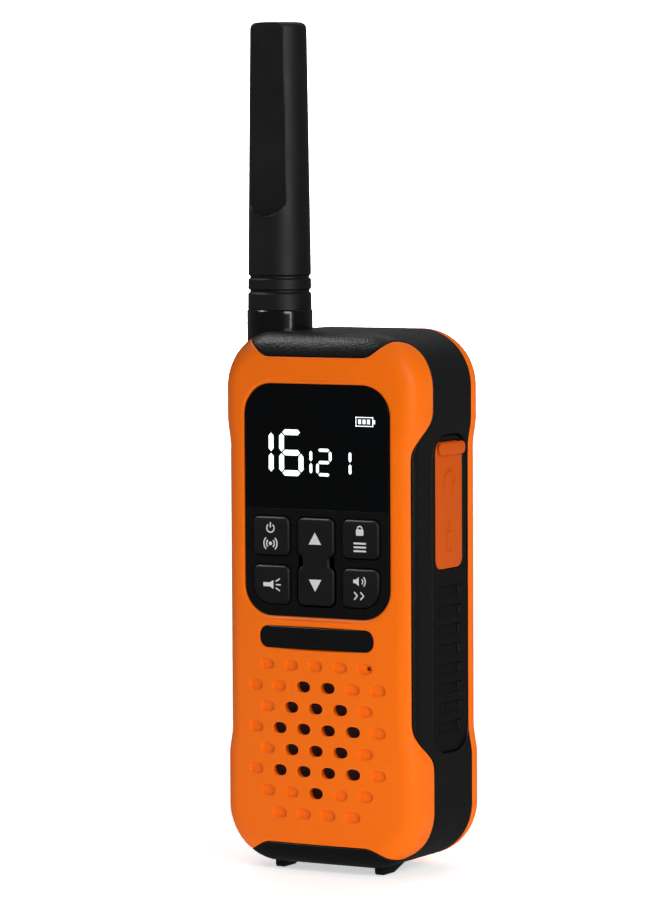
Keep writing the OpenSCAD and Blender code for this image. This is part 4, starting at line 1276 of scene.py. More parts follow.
@dataclass
class BlackFrame:
    """The black frame between the shells, with its side recesses and its two feet."""

    form: BodyForm
    parting: Parting
    collar: Box
    lamp: Box
    grip: Box
    flap: Box
    recess_x: float
    end_d: float
    gap: float = 0.16
    edge_r: float = 0.22
    rows: int = 34

    def build(self) -> bpy.types.Object:
        """Builds the frame.

        Returns:
            The finished piece.
        """
        form, shell = self.form, Shell()
        start = self.parting.way
        finish = form.way_at(self.end_d)
        first = form.set_back(start, self.gap + 1.8 * self.edge_r)
        last = finish - 1.8 * self.edge_r
        loops = form.lip(start, -1.0, self.gap, self.edge_r, 1.1)[::-1]
        share = np.linspace(0, 1, self.rows) ** 1.5
        loops += [form.skin(first + (last - first) * t) for t in share]
        loops += form.lip(finish, 1.0, 0.0, self.edge_r, 1.0)
        shallow = np.maximum(form.skin(start)[:, 1] + 1.0, 5.0)
        loops.append(form.ring(form.wall_in, form.top_in, self.end_d - 0.3))
        loops.append(form.ring(form.wall_in, form.top_in, shallow))
        rings = [shell.add(loop) for loop in loops]
        for a, b in zip(rings, rings[1:] + rings[:1]):
            shell.wall(a, b)
        obj = shell.build("mid_frame_moulding", 40)
        cut(obj, self.cutters(), smooth=34)
        weigh_normals(obj)
        return obj

    def cutters(self) -> list[bpy.types.Object]:
        """Makes the cutters of both side recesses, the two sockets, the lamp and the collar."""
        g, f = self.grip, self.flap
        tools = []
        for axis in (Axis.RIGHT, Axis.LEFT):
            recess = Shell()
            outline = round_box(g.d0 - 0.1, g.d1 + 0.1, g.z0 - 0.1, g.z1 + 0.1, 6, 14)
            sweep(recess, outline, flared_levels(self.recess_x, 0.45, 1, 30), axis, self.form.side)
            tools.append(recess.build("recess_cutter"))
            well = Shell()
            outline = round_box(f.d0 - 0.25, f.d1 + 0.25, f.z0 - 0.25, f.z1 + 0.25, 2.6)
            sweep(well, outline, [Level(0, self.recess_x - 0.4), Level(0, self.recess_x + 0.5)], axis)
            tools.append(well.build("well_cutter"))
        mid, jack, usb = f.cd, f.z1 - JACK_DROP, f.z1 - USB_DROP
        through = rows_of((0, self.recess_x - 6.0), (0, self.recess_x + 0.5))
        round_hole = arc(mid, jack, 3.4, 0, 360, 32)[:-1]
        slot = round_box(mid - 2.05, mid + 2.05, usb - 4.8, usb + 4.8, 2.04, 8)
        for outline in (round_hole, slot):
            hole = Shell()
            sweep(hole, outline, through, Axis.RIGHT)
            tools.append(hole.build("socket_cutter"))
        bores = Shell()
        c, l = self.collar, self.lamp
        revolve(bores, c.cx, c.cd, [(c.x1 - c.cx + 0.06, c.z0 - 0.01), (c.x1 - c.cx + 0.06, c.z1 + 10)])
        revolve(bores, l.cx, l.cd, [(l.x1 - l.cx + 0.06, -5.0), (l.x1 - l.cx + 0.06, l.z1 + 3)])
        tools.append(bores.build("bore_cutter"))
        return tools

    def feet(self, spots: Sequence[float]) -> bpy.types.Object:
        """Makes the two nubs under the front of the body.

        Args:
            spots: distances of the nubs from the middle.

        Returns:
            The piece.
        """
        shell = Shell()
        side = np.array([[5.4, 0.02], [10.0, 0.02], [15.0, 1.72], [15.0, 3.2], [5.0, 3.2], [5.0, 0.5]])
        dense = np.concatenate([np.linspace(a, b, 7, endpoint=False) for a, b in zip(side, np.roll(side, -1, axis=0))])
        for x in spots:
            rows = []
            for t, inset in ((-1.3, 0.35), (-1.15, 0.1), (-0.9, 0.0), (0.9, 0.0), (1.15, 0.1), (1.3, 0.35)):
                ring = grow(dense, -inset)
                rows.append(np.stack([np.full(len(ring), x + t), ring[:, 0], ring[:, 1]], axis=1))
            shell.stack(rows)
        obj = shell.build("frame_feet", 35)
        return obj


@dataclass
class BackShell:
    """The orange back with its door opening, and the sliding battery door."""

    form: BodyForm
    start_d: float
    door: Box
    screws: tuple[tuple[float, float], ...]
    edge_r: float = 0.3
    gap: float = 0.15
    rows: int = 16

    def blank(self, name: str) -> bpy.types.Object:
        """Builds the whole back before it is parted from the door.

        Args:
            name: name of the piece.

        Returns:
            A closed shell.
        """
        form, shell = self.form, Shell()
        start = form.way_at(self.start_d)
        end = form.roll_length * 2 + form.wall_length + form.flat_length
        loops = [form.ring(form.wall_in, form.top_in, self.start_d + 0.3)]
        loops += form.lip(start, -1.0, 0.0, self.edge_r, 1.0)[::-1]
        first = start + self.edge_r * 1.6
        loops += [form.skin(first + (end - first) * t) for t in np.linspace(0, 1, self.rows)]
        rings = [shell.add(loop) for loop in loops]
        for a, b in zip(rings, rings[1:]):
            shell.wall(a, b)
        deep = form.back_d - 2.0
        inner = shell.add(form.ring(form.wall_in + 3.0, form.top_in + 3.0, deep))
        shell.wall(inner, rings[0])
        form.cap(shell, rings[-1], lambda u, v: np.full_like(u, form.back_d), False)
        form.cap(shell, inner, lambda u, v: np.full_like(u, deep), True)
        return shell.build(name, 40)

    def build(self) -> bpy.types.Object:
        """Builds the back shell.

        Returns:
            The finished piece.
        """
        obj = self.blank("back_shell_moulding")
        door = self.door
        tools = Shell()
        outline = round_box(door.x0 - self.gap, door.x1 + self.gap, -4, door.z1 + self.gap, 0.6, 4)
        back = self.form.back_d
        levels = rows_of((0, self.start_d - 2), (0, back - 0.35), (0.1, back - 0.1), (0.35, back), (0.36, back + 3))
        sweep(tools, outline, levels, Axis.DEPTH)
        sinks = Shell()
        for x, z in self.screws:
            ring = arc(x, z, 2.5, 0, 360, 40)[:-1]
            rows = rows_of((0, back - 1.1), (0, back - 0.2), (0.06, back - 0.06), (0.25, back + 0.01), (0.25, back + 3))
            sweep(sinks, ring, rows, Axis.DEPTH)
        cut(obj, [tools.build("door_cutter"), sinks.build("sink_cutter")], smooth=34)
        weigh_normals(obj)
        return obj

    def build_door(self) -> bpy.types.Object:
        """Builds the battery door with its thumb grooves.

        Returns:
            The finished piece.
        """
        obj = self.blank("battery_door_moulding")
        door, back = self.door, self.form.back_d
        keep = Shell()
        outline = round_box(door.x0, door.x1, -4, door.z1, 0.5, 4)
        levels = rows_of(
            (0, self.start_d - 3), (0, back - 0.3), (-0.09, back - 0.09), (-0.3, back + 0.01), (-0.3, back + 3)
        )
        sweep(keep, outline, levels, Axis.DEPTH)
        cut(obj, [keep.build("door_keeper")], keep=True)
        grooves = Shell()
        for i in range(5):
            z = door.z1 - 11.6 + 1.9 * i
            ring = round_box(-7, 7, z - 0.45, z + 0.45, 0.44, 5)
            rows = rows_of(
                (-0.2, back - 0.45), (0, back - 0.3), (0.02, back - 0.1), (0.14, back + 0.01), (0.14, back + 1)
            )
            sweep(grooves, ring, rows, Axis.DEPTH)
        cut(obj, [grooves.build("groove_cutter")], smooth=34)
        weigh_normals(obj)
        return obj


# ---- face furniture ----


@dataclass
class Display:
    """The glossy window, the lit figures behind it and their icon."""

    lens: Box

    def build_lens(self) -> bpy.types.Object:
        """Builds the window with a fine rounded edge."""
        p = self.lens
        shell = Shell()
        outline = round_box(p.x0, p.x1, p.z0 - 0.06, p.z1, (0.06, 0.06, 6.85, 6.85), 14)
        sweep(shell, outline, rounded_levels(0.0, 1.0, 0.05), Axis.DEPTH)
        return shell.build("display_window", 30)

    def bar(self, shell: Shell, cx: float, cz: float, length: float, width: float, upright: bool) -> None:
        """Adds one pointed bar of a figure."""
        l, t = length / 2, width / 2
        flat = np.array([[-l, 0], [-l + t, -t], [l - t, -t], [l, 0], [l - t, t], [-l + t, t]])
        if upright:
            flat = np.stack([-flat[:, 1], flat[:, 0]], axis=1)
        sweep(shell, flat + np.array([cx, cz]), [Level(0, -0.012), Level(0, 0.15)], Axis.DEPTH)

    def figure(self, shell: Shell, lit: str, x: float, z: float, w: float, h: float, t: float) -> None:
        """Adds a seven-bar figure.

        Args:
            shell: mesh to add to.
            lit: letters of the lit bars, a to g.
            x: left edge.
            z: lower edge.
            w: width.
            h: height.
            t: stroke.
        """
        v, gap = (h - t) / 2, 0.42
        bars = {
            "a": (x + w / 2, z + h - t / 2, w - t - gap, False),
            "b": (x + w - t / 2, z + h - t / 2 - v / 2, v - gap, True),
            "c": (x + w - t / 2, z + t / 2 + v / 2, v - gap, True),
            "d": (x + w / 2, z + t / 2, w - t - gap, False),
            "e": (x + t / 2, z + t / 2 + v / 2, v - gap, True),
            "f": (x + t / 2, z + h - t / 2 - v / 2, v - gap, True),
            "g": (x + w / 2, z + h / 2, w - t - gap, False),
        }
        for name in lit:
            cx, cz, length, upright = bars[name]
            self.bar(shell, cx, cz, length, t * 0.84, upright)

    def build_figures(self) -> bpy.types.Object:
        """Builds every lit bar and the battery icon as thin lit solids at the window's face."""
        shell = Shell()
        low = self.lens.z1 + 0.08 - 20.7
        self.figure(shell, "bc", -16.2, low, 5.4, 10.6, 1.5)
        self.figure(shell, "acdefg", -9.6, low, 6.5, 10.6, 1.5)
        self.figure(shell, "bc", -4.7, low + 0.2, 3.8, 6.3, 0.85)
        self.figure(shell, "abdeg", -0.05, low + 0.2, 4.1, 6.3, 0.85)
        self.figure(shell, "bc", 5.1, low + 0.2, 4.0, 6.3, 0.85)
        x, z = 10.15, self.lens.z1 + 0.08 - 9.1
        thin = 0.16
        slabs = [
            (x, x + 4.4, z, z + thin), (x, x + 4.4, z + 2.1 - thin, z + 2.1), (x, x + thin, z, z + 2.1),
            (x + 4.4 - thin, x + 4.4, z, z + 2.1), (x + 4.45, x + 4.9, z + 0.6, z + 1.5),
        ]
        slabs += [(x + 0.65 + 1.12 * i, x + 1.35 + 1.12 * i, z + 0.55, z + 1.55) for i in range(3)]
        for x0, x1, z0, z1 in slabs:
            ring = np.array([[x0, z0], [x1, z0], [x1, z1], [x0, z1]])
            sweep(shell, ring, [Level(0, -0.012), Level(0, 0.15)], Axis.DEPTH)
        return shell.build("display_figures")


class Icons:
    """Draws the marks on the keys as thin printed solids."""

    def __init__(self, face_d: float) -> None:
        """Starts a print at the depth of the key's face."""
        self.face_d = face_d
        self.shell = Shell()

    def fill(self, outline: Points) -> None:
        """Prints a filled outline."""
        sweep(self.shell, outline, [Level(0, self.face_d - 0.02), Level(0, self.face_d + 0.2)], Axis.DEPTH)

    def stroke(self, points: Points, width: float, closed: bool = False) -> None:
        """Prints a line as one band.

        Args:
            points: the line's points.
            width: width of the band.
            closed: whether the line meets its start.
        """
        p = np.asarray(points, dtype=float)
        n = len(p)
        after = (np.roll(p, -1, axis=0) - p) if closed else np.gradient(p, axis=0)
        if closed:
            after = after + (p - np.roll(p, 1, axis=0))
        side = np.stack([-after[:, 1], after[:, 0]], axis=1)
        side /= np.maximum(np.linalg.norm(side, axis=1, keepdims=True), 1e-9)
        a, b = p - side * width / 2, p + side * width / 2
        for i in range(n if closed else n - 1):
            j = (i + 1) % n
            ring = np.array([a[i], a[j], b[j], b[i]])
            self.fill(ring)

    def triangle(self, x: float, z: float, w: float, h: float, up: bool) -> None:
        """Prints a solid arrow head."""
        s = 1 if up else -1
        ring = np.array([[x - w / 2, z - s * h / 2], [x + w / 2, z - s * h / 2], [x, z + s * h / 2]])
        self.fill(ring if up else ring[::-1])

    def power(self, x: float, z: float, r: float) -> None:
        """Prints the standby mark."""
        self.stroke(arc(x, z, r, 130, 410, 18), 0.3)
        self.stroke(np.array([[x, z + 0.1], [x, z + r + 0.35]]), 0.3)

    def waves(self, x: float, z: float) -> None:
        """Prints a dot with waves on both sides, for calling."""
        self.fill(arc(x, z, 0.42, 0, 360, 14)[:-1])
        for r in (1.0, 1.7):
            for a in (0, 180):
                self.stroke(arc(x, z, r, a - 48, a + 48, 8), 0.3)

    def padlock(self, x: float, z: float) -> None:
        """Prints a padlock."""
        self.fill(round_box(x - 0.95, x + 0.95, z - 0.85, z + 0.55, 0.2, 3))
        self.stroke(arc(x, z + 0.6, 0.6, 0, 180, 8), 0.3)

    def lines(self, x: float, z: float) -> None:
        """Prints three lines, for a menu."""
        for i in (-1, 0, 1):
            self.fill(round_box(x - 1.6, x + 1.6, z + i * 0.85 - 0.2, z + i * 0.85 + 0.2, 0.15, 2))

    def torch(self, x: float, z: float) -> None:
        """Prints a lamp with rays."""
        self.fill(np.array([[x - 2.3, z - 0.45], [x - 0.6, z - 0.45], [x + 0.3, z - 1.0], [x + 0.3, z + 1.0],
                            [x - 0.6, z + 0.45], [x - 2.3, z + 0.45]]))
        for a in (-28, 0, 28):
            c, s = math.cos(math.radians(a)), math.sin(math.radians(a))
            self.stroke(np.array([[x + 0.2 + 0.8 * c, z + 1.5 * s], [x + 0.2 + 2.0 * c, z + 2.9 * s]]), 0.28)

    def ear(self, x: float, z: float) -> None:
        """Prints a loudspeaker with waves, for monitoring."""
        self.fill(np.array([[x - 1.5, z - 0.4], [x - 0.9, z - 0.4], [x - 0.1, z - 1.0], [x - 0.1, z + 1.0],
                            [x - 0.9, z + 0.4], [x - 1.5, z + 0.4]]))
        for r in (0.8, 1.45):
            self.stroke(arc(x + 0.1, z, r, -45, 45, 7), 0.28)

    def chevrons(self, x: float, z: float) -> None:
        """Prints two chevrons, for scanning."""
        for i in (-1, 1):
            x0 = x + i * 0.8 - 0.5
            self.stroke(np.array([[x0, z + 0.85], [x0 + 0.85, z]]), 0.32)
            self.stroke(np.array([[x0 + 0.85, z], [x0, z - 0.85]]), 0.32)


@dataclass
class Keypad:
    """The matte panel, four corner keys and the rocker between them."""

    bezel: Box
    rocker: Box
    proud: float = 0.7
    gap: float = 0.2
    key_w: float = 9.3
    pitch_x: float = 11.45
    key_h: float = 8.6
    panel_r: float = 6.9

    @property
    def rows(self) -> tuple[float, float]:
        """Heights of the lower and the upper row."""
        return self.rocker.z0 + self.key_h / 2, self.rocker.z1 - self.key_h / 2

    def key_outline(self, column: int, row: int, grown: float = 0.0) -> Points:
        """Outline of a corner key.

        Args:
            column: -1 left or 1 right.
            row: 0 lower or 1 upper.
            grown: gap to add.

        Returns:
            The outline.
        """
        x = column * self.pitch_x
        z = self.rows[row]
        w, h = self.key_w / 2, self.key_h / 2
        outer = 1.4 if row else 4.4
        rim = self.bezel.x1 + 0.08 - 2.3
        x0, x1 = max(x - w, -rim), min(x + w, rim)
        z0 = max(z - h, self.bezel.z0 - 0.08 + 2.3)
        radii = [1.4, 1.4, 1.4, 1.4]
        radii[0 if column < 0 else 1] = outer
        return grow(round_box(x0, x1, z0, z + h, radii, 8), grown)

    def rocker_outline(self, grown: float = 0.0) -> Points:
        """Outline of the rocker: two keys joined by a neck."""
        lo, hi = self.rows
        w, h, r, neck, soft = self.key_w / 2, self.key_h / 2, 1.4, 3.4, 0.45
        lower = [arc(-w + r, lo - h + r, r, 180, 270, 8), arc(w - r, lo - h + r, r, 270, 360, 8)]
        right = [arc(w - r, lo + h - r, r, 0, 80, 8), arc(neck + soft, lo + h + soft, soft, 260, 180, 4),
                 arc(neck + soft, hi - h - soft, soft, 180, 100, 4), arc(w - r, hi - h + r, r, -80, 0, 8)]
        upper = [arc(w - r, hi + h - r, r, 0, 90, 8)]
        half = np.concatenate(lower[1:] + right + upper)
        left = half[::-1] * np.array([-1, 1])
        return grow(np.concatenate([half, left]), grown)

    def build_panel(self) -> bpy.types.Object:
        """Builds the matte panel with softened key openings."""
        p = self.bezel
        shell = Shell()
        r = self.panel_r - 0.08
        outline = round_box(p.x0, p.x1, p.z0, p.z1 + 0.06, (r, r, 0.06, 0.06), 14)
        sweep(shell, outline, rounded_levels(0.0, 1.0, 0.05), Axis.DEPTH)
        obj = shell.build("key_panel", 30)
        tools = Shell()
        flat: Surface = lambda u, v: np.zeros_like(u)
        mouth = flared_levels(3.0, 0.15, -1, -2, 3)
        for column in (-1, 1):
            for row in (0, 1):
                sweep(tools, self.key_outline(column, row, self.gap), mouth, Axis.DEPTH, flat)
        sweep(tools, self.rocker_outline(self.gap + 0.06), mouth, Axis.DEPTH, flat)
        cut(obj, [tools.build("key_cutter")])
        weigh_normals(obj)
        return obj

    def cap(self, name: str, outline: Points, flange: float = 0.35) -> bpy.types.Object:
        """Builds a key cap with a soft edge and a barely domed face.

        Args:
            name: name of the piece.
            outline: its outline.
            flange: width of the flange that holds it behind the panel, none on a key that tilts.

        Returns:
            The key.
        """
        shell = Shell()
        levels = [Level(flange, 1.5), Level(flange, 1.1), Level(0.0, 1.08)]
        r, top = 0.55, -self.proud
        for i in range(6):
            a = math.radians(18 * i)
            levels.append(Level(-r * (1 - math.cos(a)), top + 0.05 + r * (1 - math.sin(a))))
        levels += [Level(-0.9, top + 0.02), Level(-1.3, top)]
        sweep(shell, outline, levels, Axis.DEPTH)
        return shell.build(name, 40)

    def build(self) -> None:
        """Builds and hands over every key and its print."""
        lo, hi = self.rows
        face = -self.proud
        hand_over(self.build_panel(), "case", PANEL_ABS, ["key_bezel"])
        keys = {"call_key": (-1, 1), "menu_key": (1, 1), "lamp_key": (-1, 0), "scan_key": (1, 0)}
        for name, (column, row) in keys.items():
            cap = self.cap(f"{name}_cap", self.key_outline(column, row))
            hand_over(cap, name, KEY_SILICONE, [name])
            icons = Icons(face)
            x, z = column * self.pitch_x, self.rows[row]
            if name == "call_key":
                icons.power(x, z + 1.75, 0.95)
                icons.waves(x, z - 1.7)
            elif name == "menu_key":
                icons.padlock(x, z + 1.75)
                icons.lines(x, z - 1.7)
            elif name == "lamp_key":
                icons.torch(x + 0.4, z)
            else:
                icons.ear(x - 0.2, z + 1.6)
                icons.chevrons(x - 0.2, z - 1.6)
            hand_over(icons.shell.build(f"{name}_print"), name, WHITE_INK)
        rocker = self.cap("channel_rocker_cap", self.rocker_outline(), flange=0.0)
        hand_over(rocker, "channel_rocker", KEY_SILICONE, ["channel_rocker"])
        icons = Icons(face)
        icons.triangle(0, hi - 0.2, 3.2, 2.7, True)
        icons.triangle(0, lo + 0.2, 3.2, 2.7, False)
        hand_over(icons.shell.build("channel_rocker_print"), "channel_rocker", WHITE_INK)


@dataclass
class NamePlate:
    """The blank glossy plate under the keys, bent to the crown of the face."""

    box: Box
    form: BodyForm

    def build(self) -> bpy.types.Object:
        """Builds the plate."""
        p = self.box
        shell = Shell()
        outline = round_box(p.x0, p.x1, p.z0, p.z1, 2.1, 10)
        a, b, c, d = outline[10], outline[11], outline[32], outline[33]
        fine = np.concatenate(
            [outline[:11], np.linspace(a, b, 24)[1:-1], outline[11:33], np.linspace(c, d, 24)[1:-1], outline[33:]]
        )
        rows = [Level(0, 0.38)] + rounded_levels(0.12, 0.3, 0.14, follow=1.0)[1:]
        sweep(shell, fine, rows, Axis.DEPTH, self.form.crown)
        obj = shell.build("blank_name_plate", 30)
        return obj


# ---- antenna ----


@dataclass
class Antenna:
    """The paddle antenna: glossy collar, grooved foot and a sleeve with two flats."""

    base: Box
    sleeve: Box
    flat_at: float = 5.0
    flat_r: float = 5.5
    flat_foot: float = 146.55
    turns: int = 128

    def build_collar(self) -> bpy.types.Object:
        """Builds the collar."""
        b = self.base
        r = b.x1 - b.cx
        top = self.sleeve.z0 - 0.05
        low = b.z0 + 6.5
        profile = [(3.9, b.z0), (4.0, low), (r, low), (r, top - 1.0)]
        for i in range(5):
            a = math.radians(90 * i / 4)
            profile.append((r - 0.45 * (1 - math.cos(a)), top - 0.45 * (1 - math.sin(a))))
        profile += [(4.2, top), (4.2, b.z1), (2.45, b.z1)]
        shell = Shell()
        revolve(shell, b.cx, b.cd, profile, self.turns)
        return shell.build("antenna_collar", 35)

    def radius(self, z: Points, foot: float, tip: float) -> Points:
        """Radius of the round sleeve at a height, with its two grooves."""
        z0, z1 = self.sleeve.z0, self.sleeve.z1
        r = foot + (tip - foot) * (z - z0) / (z1 - z0)
        for centre in (z0 + 4.1, z0 + 7.3):
            off = np.clip(1 - np.abs(z - centre) / 0.55, 0, 1)
            r = r - 0.45 * np.minimum(1, off * 1.6)
        end = np.clip((z - (z1 - 1.5)) / 1.5, 0, 1)
        return r - 1.5 * (1 - np.sqrt(np.maximum(0, 1 - end**2)))

    def build_sleeve(self) -> bpy.types.Object:
        """Builds the sleeve, with soft edges where the flats meet the round."""
        s = self.sleeve
        foot, tip = s.x1 - s.cx, 6.35
        heights = np.concatenate(
            [
                np.linspace(s.z0, s.z0 + 3.4, 3),
                np.linspace(s.z0 + 3.5, s.z0 + 8.0, 40),
                np.linspace(s.z0 + 9, self.flat_foot - 1, 8),
                np.linspace(self.flat_foot - 0.5, self.flat_foot + 6, 34),
                np.linspace(self.flat_foot + 7, s.z1 - 1.6, 12),
                s.z1 - 1.5 + 1.5 * np.sin(np.radians(np.linspace(0, 89, 9))),
            ]
        )
        a = np.radians(np.linspace(0, 360, self.turns, endpoint=False))
        shell = Shell()
        loops = []
        for z in heights:
            r = float(self.radius(np.array(z), foot, tip))
            x, y = r * np.cos(a), r * np.sin(a)
            rise = z - self.flat_foot
            half = math.sqrt(max(0.0, self.flat_r**2 - max(0.0, self.flat_r - rise) ** 2)) if rise > 0 else 0.0
            inside = np.clip((half - np.abs(x)) / 0.3, 0, 1) if half > 0 else np.zeros_like(x)
            inside = np.where(np.abs(x) < self.flat_r, inside, 0) if rise > 0 else inside
            flat = np.sign(y) * np.minimum(np.abs(y), self.flat_at)
            y = y + (flat - y) * inside
            loops.append(np.stack([s.cx + x, s.cd + y, np.full_like(x, z)], axis=1))
        tip_r = 4.4
        shell.stack([np.stack([s.cx + 4.3 * np.cos(a), s.cd + 4.3 * np.sin(a), np.full_like(a, s.z0)], axis=1)] + loops)
        log.debug("sleeve tip radius %.2f", tip_r)
        return shell.build("antenna_sleeve_moulding", 24)


# ---- sides ----


@dataclass
class SideGrip:
    """A rubber grip in a side recess, with eight shallow ribs."""

    box: Box
    flap: Box
    recess_x: float
    axis: Axis
    pitch: float = 4.35
    count: int = 8

    def build(self, name: str) -> bpy.types.Object:
        """Builds the grip pad with the flap's opening and its ribs.

        Args:
            name: name of the piece.

        Returns:
            The pad.
        """
        g, f = self.box, self.flap
        shell = Shell()
        top = self.recess_x + 1.0
        outline = round_box(g.d0 + 0.1, g.d1 - 0.1, g.z0 + 0.1, g.z1 - 0.1, 5.9, 14)
        sweep(shell, outline, rounded_levels(top, self.recess_x, 0.35, 1.0), self.axis)
        obj = shell.build(name, 30)
        tools = Shell()
        opening = round_box(f.d0 - 0.25, f.d1 + 0.25, f.z0 - 0.25, f.z1 + 0.25, 2.6, 8)
        flat: Surface = lambda u, v: np.full_like(u, top)
        sweep(tools, opening, flared_levels(self.recess_x - 1, 0.2, 1, top + 2, 3), self.axis, flat)
        cut(obj, [tools.build("opening_cutter"), self.rib_pockets(top)])
        weigh_normals(obj)
        return obj

    def rib_pockets(self, top: float) -> bpy.types.Object:
        """Makes the cutter of the shallow wedge-shaped pockets between the ribs.

        Args:
            top: distance of the pad's face from the middle.

        Returns:
            One cutter with every pocket.
        """
        side = 1.0 if self.axis is Axis.RIGHT else -1.0
        d0, d1 = self.flap.d0 + 2.0, self.flap.d1 - 0.8
        half = (d1 - d0) / 2
        shell = Shell()
        for deep, rise, shrink in ((0.0, 0.0, 0.0),):
            ring = round_box(-half, half, -1.25, 1.25, 0.35, 4)
            levels = []
            for level, grown in ((-0.55, -0.22), (-0.42, -0.06), (-0.2, 0.0), (-0.04, 0.05), (0.02, 0.16), (0.6, 0.16)):
                levels.append((level + deep, grown + shrink))
            loops = []
            for level, grown in levels:
                p = grow(ring, grown)
                tilt = -0.16 * (p[:, 1] + rise) if level < 0 else 0.0
                loops.append(np.stack([side * (level + tilt + np.zeros(len(p))), p[:, 0], p[:, 1]], axis=1))
            shell.stack(loops)
        return Repeater.spread("rib_pockets", at_origin(shell, "rib_pocket"), self.spots(top), GRIP_TPE)

    def spots(self, top: float) -> list[tuple[float, float, float]]:
        """Centres of the pockets on the pad's face."""
        side = 1.0 if self.axis is Axis.RIGHT else -1.0
        mid = (self.flap.d0 + 2.0 + self.flap.d1 - 0.8) / 2
        return [(side * top, mid, self.flap.z0 - 5.2 - i * self.pitch) for i in range(self.count)]

    def beads(self, name: str) -> bpy.types.Object:
        """Builds the thin raised beads along the foot and the front of every pocket.

        Args:
            name: name of the piece.

        Returns:
            One piece with every bead.
        """
        top = self.recess_x + 1.0
        half = (self.flap.d1 - self.flap.d0 - 2.8) / 2
        u, v, t = half + 0.25, 1.5, 0.34
        bend = np.array([[-u, v * 0.8], [-u, -v], [u, -v], [u, -v + t], [-u + t, -v + t], [-u + t, v * 0.8]])
        shell = Shell()
        rows = [Level(0.04, -0.2), Level(0.0, 0.12), Level(-0.05, 0.2), Level(-0.12, 0.24)]
        sweep(shell, bend, rows, self.axis)
        return Repeater.spread(name, at_origin(shell, "bead"), self.spots(top), GRIP_TPE)


@dataclass
class PortFlap:
    """The silicone flap over the sockets, with its pull lip, two raised marks and two plugs."""

    box: Box
    recess_x: float
    lip: float = 3.0

    @property
    def face(self) -> float:
        """Distance of the flap's face from the middle."""
        return self.box.x1 - 0.9

    def build(self) -> bpy.types.Object:
        """Builds the flap."""
        b = self.box
        shell = Shell()
        d0, d1 = b.d0, b.d1 if b.d1 - b.d0 < 12.4 else b.d1 - 0.2
        outline = round_box(d0, d1, b.z0, b.z1, 2.4, 8)
        sweep(shell, outline, rounded_levels(self.face, self.recess_x - 0.3, 0.4, 1.0), Axis.RIGHT)
        grip = round_box(d0 + 0.35, b.d1, b.z1 - self.lip, b.z1 - 0.1, 1.3, 6)
        rows = [Level(-0.5, self.face - 0.5), Level(-0.25, self.face - 0.1), Level(-0.08, self.face + 0.2)]
        rows += [Level(0.0, self.face + 0.45), Level(-0.12, self.face + 0.72), Level(-0.45, self.face + 0.88)]
        rows += [Level(-1.0, self.face + 0.9)]
        sweep(shell, grip, rows, Axis.RIGHT)
        mid = (d0 + d1) / 2
        jack, usb = b.z1 - JACK_DROP, b.z1 - USB_DROP
        plug_rows = rows_of((0, self.recess_x - 1.0), (0, self.face - 0.6))
        sweep(shell, arc(mid, jack, 3.0, 0, 360, 32)[:-1], plug_rows, Axis.RIGHT)
        plug = round_box(mid - 1.75, mid + 1.75, usb - 4.5, usb + 4.5, 1.74, 8)
        sweep(shell, plug, plug_rows, Axis.RIGHT)
        obj = shell.build("port_flap", 35)
        return obj

    def build_marks(self) -> bpy.types.Object:
        """Builds the raised headset mark and the raised plug mark."""
        b = self.box
        shell = Shell()
        mid = (b.d0 + b.d1) / 2 - 0.1
        jack, usb = b.z1 - JACK_DROP, b.z1 - USB_DROP
        band = 0.42
        relief = rows_of((0.05, self.face - 0.2), (0, self.face + 0.16), (-0.12, self.face + 0.28))

        def ridge(points: Points, width: float = band) -> None:
            """Raises a line of even width along the points."""
            p = np.asarray(points)
            step = np.gradient(p, axis=0)
            side = np.stack([-step[:, 1], step[:, 0]], axis=1)
            side /= np.maximum(np.linalg.norm(side, axis=1, keepdims=True), 1e-9)
            loop = np.concatenate([p - side * width / 2, (p + side * width / 2)[::-1]])
            rows = [Level(0.1, self.face - 0.2), Level(0.04, self.face + 0.14), Level(-0.08, self.face + 0.28)]
            sweep(shell, loop, rows, Axis.RIGHT)

        ridge(arc(mid, jack, 2.6, -10, 190, 22))
        for s in (-1, 1):
            outline = round_box(mid + s * 2.1 - 0.65, mid + s * 2.1 + 0.65, jack - 2.6, jack - 0.2, 0.55, 5)
            sweep(shell, outline, relief, Axis.RIGHT)
        ridge(arc(mid, usb, 0.02, 90, 90, 1) + np.array([[0, 3.4], [0, 1.2]]))
        body = round_box(mid - 1.3, mid + 1.3, usb - 1.9, usb + 1.3, 0.5, 5)
        sweep(shell, body, relief, Axis.RIGHT)
        for s in (-1, 1):
            ridge(np.array([[mid + s * 0.7, usb - 1.8], [mid + s * 0.7, usb - 3.4]]))
        return shell.build("port_flap_marks", 35)


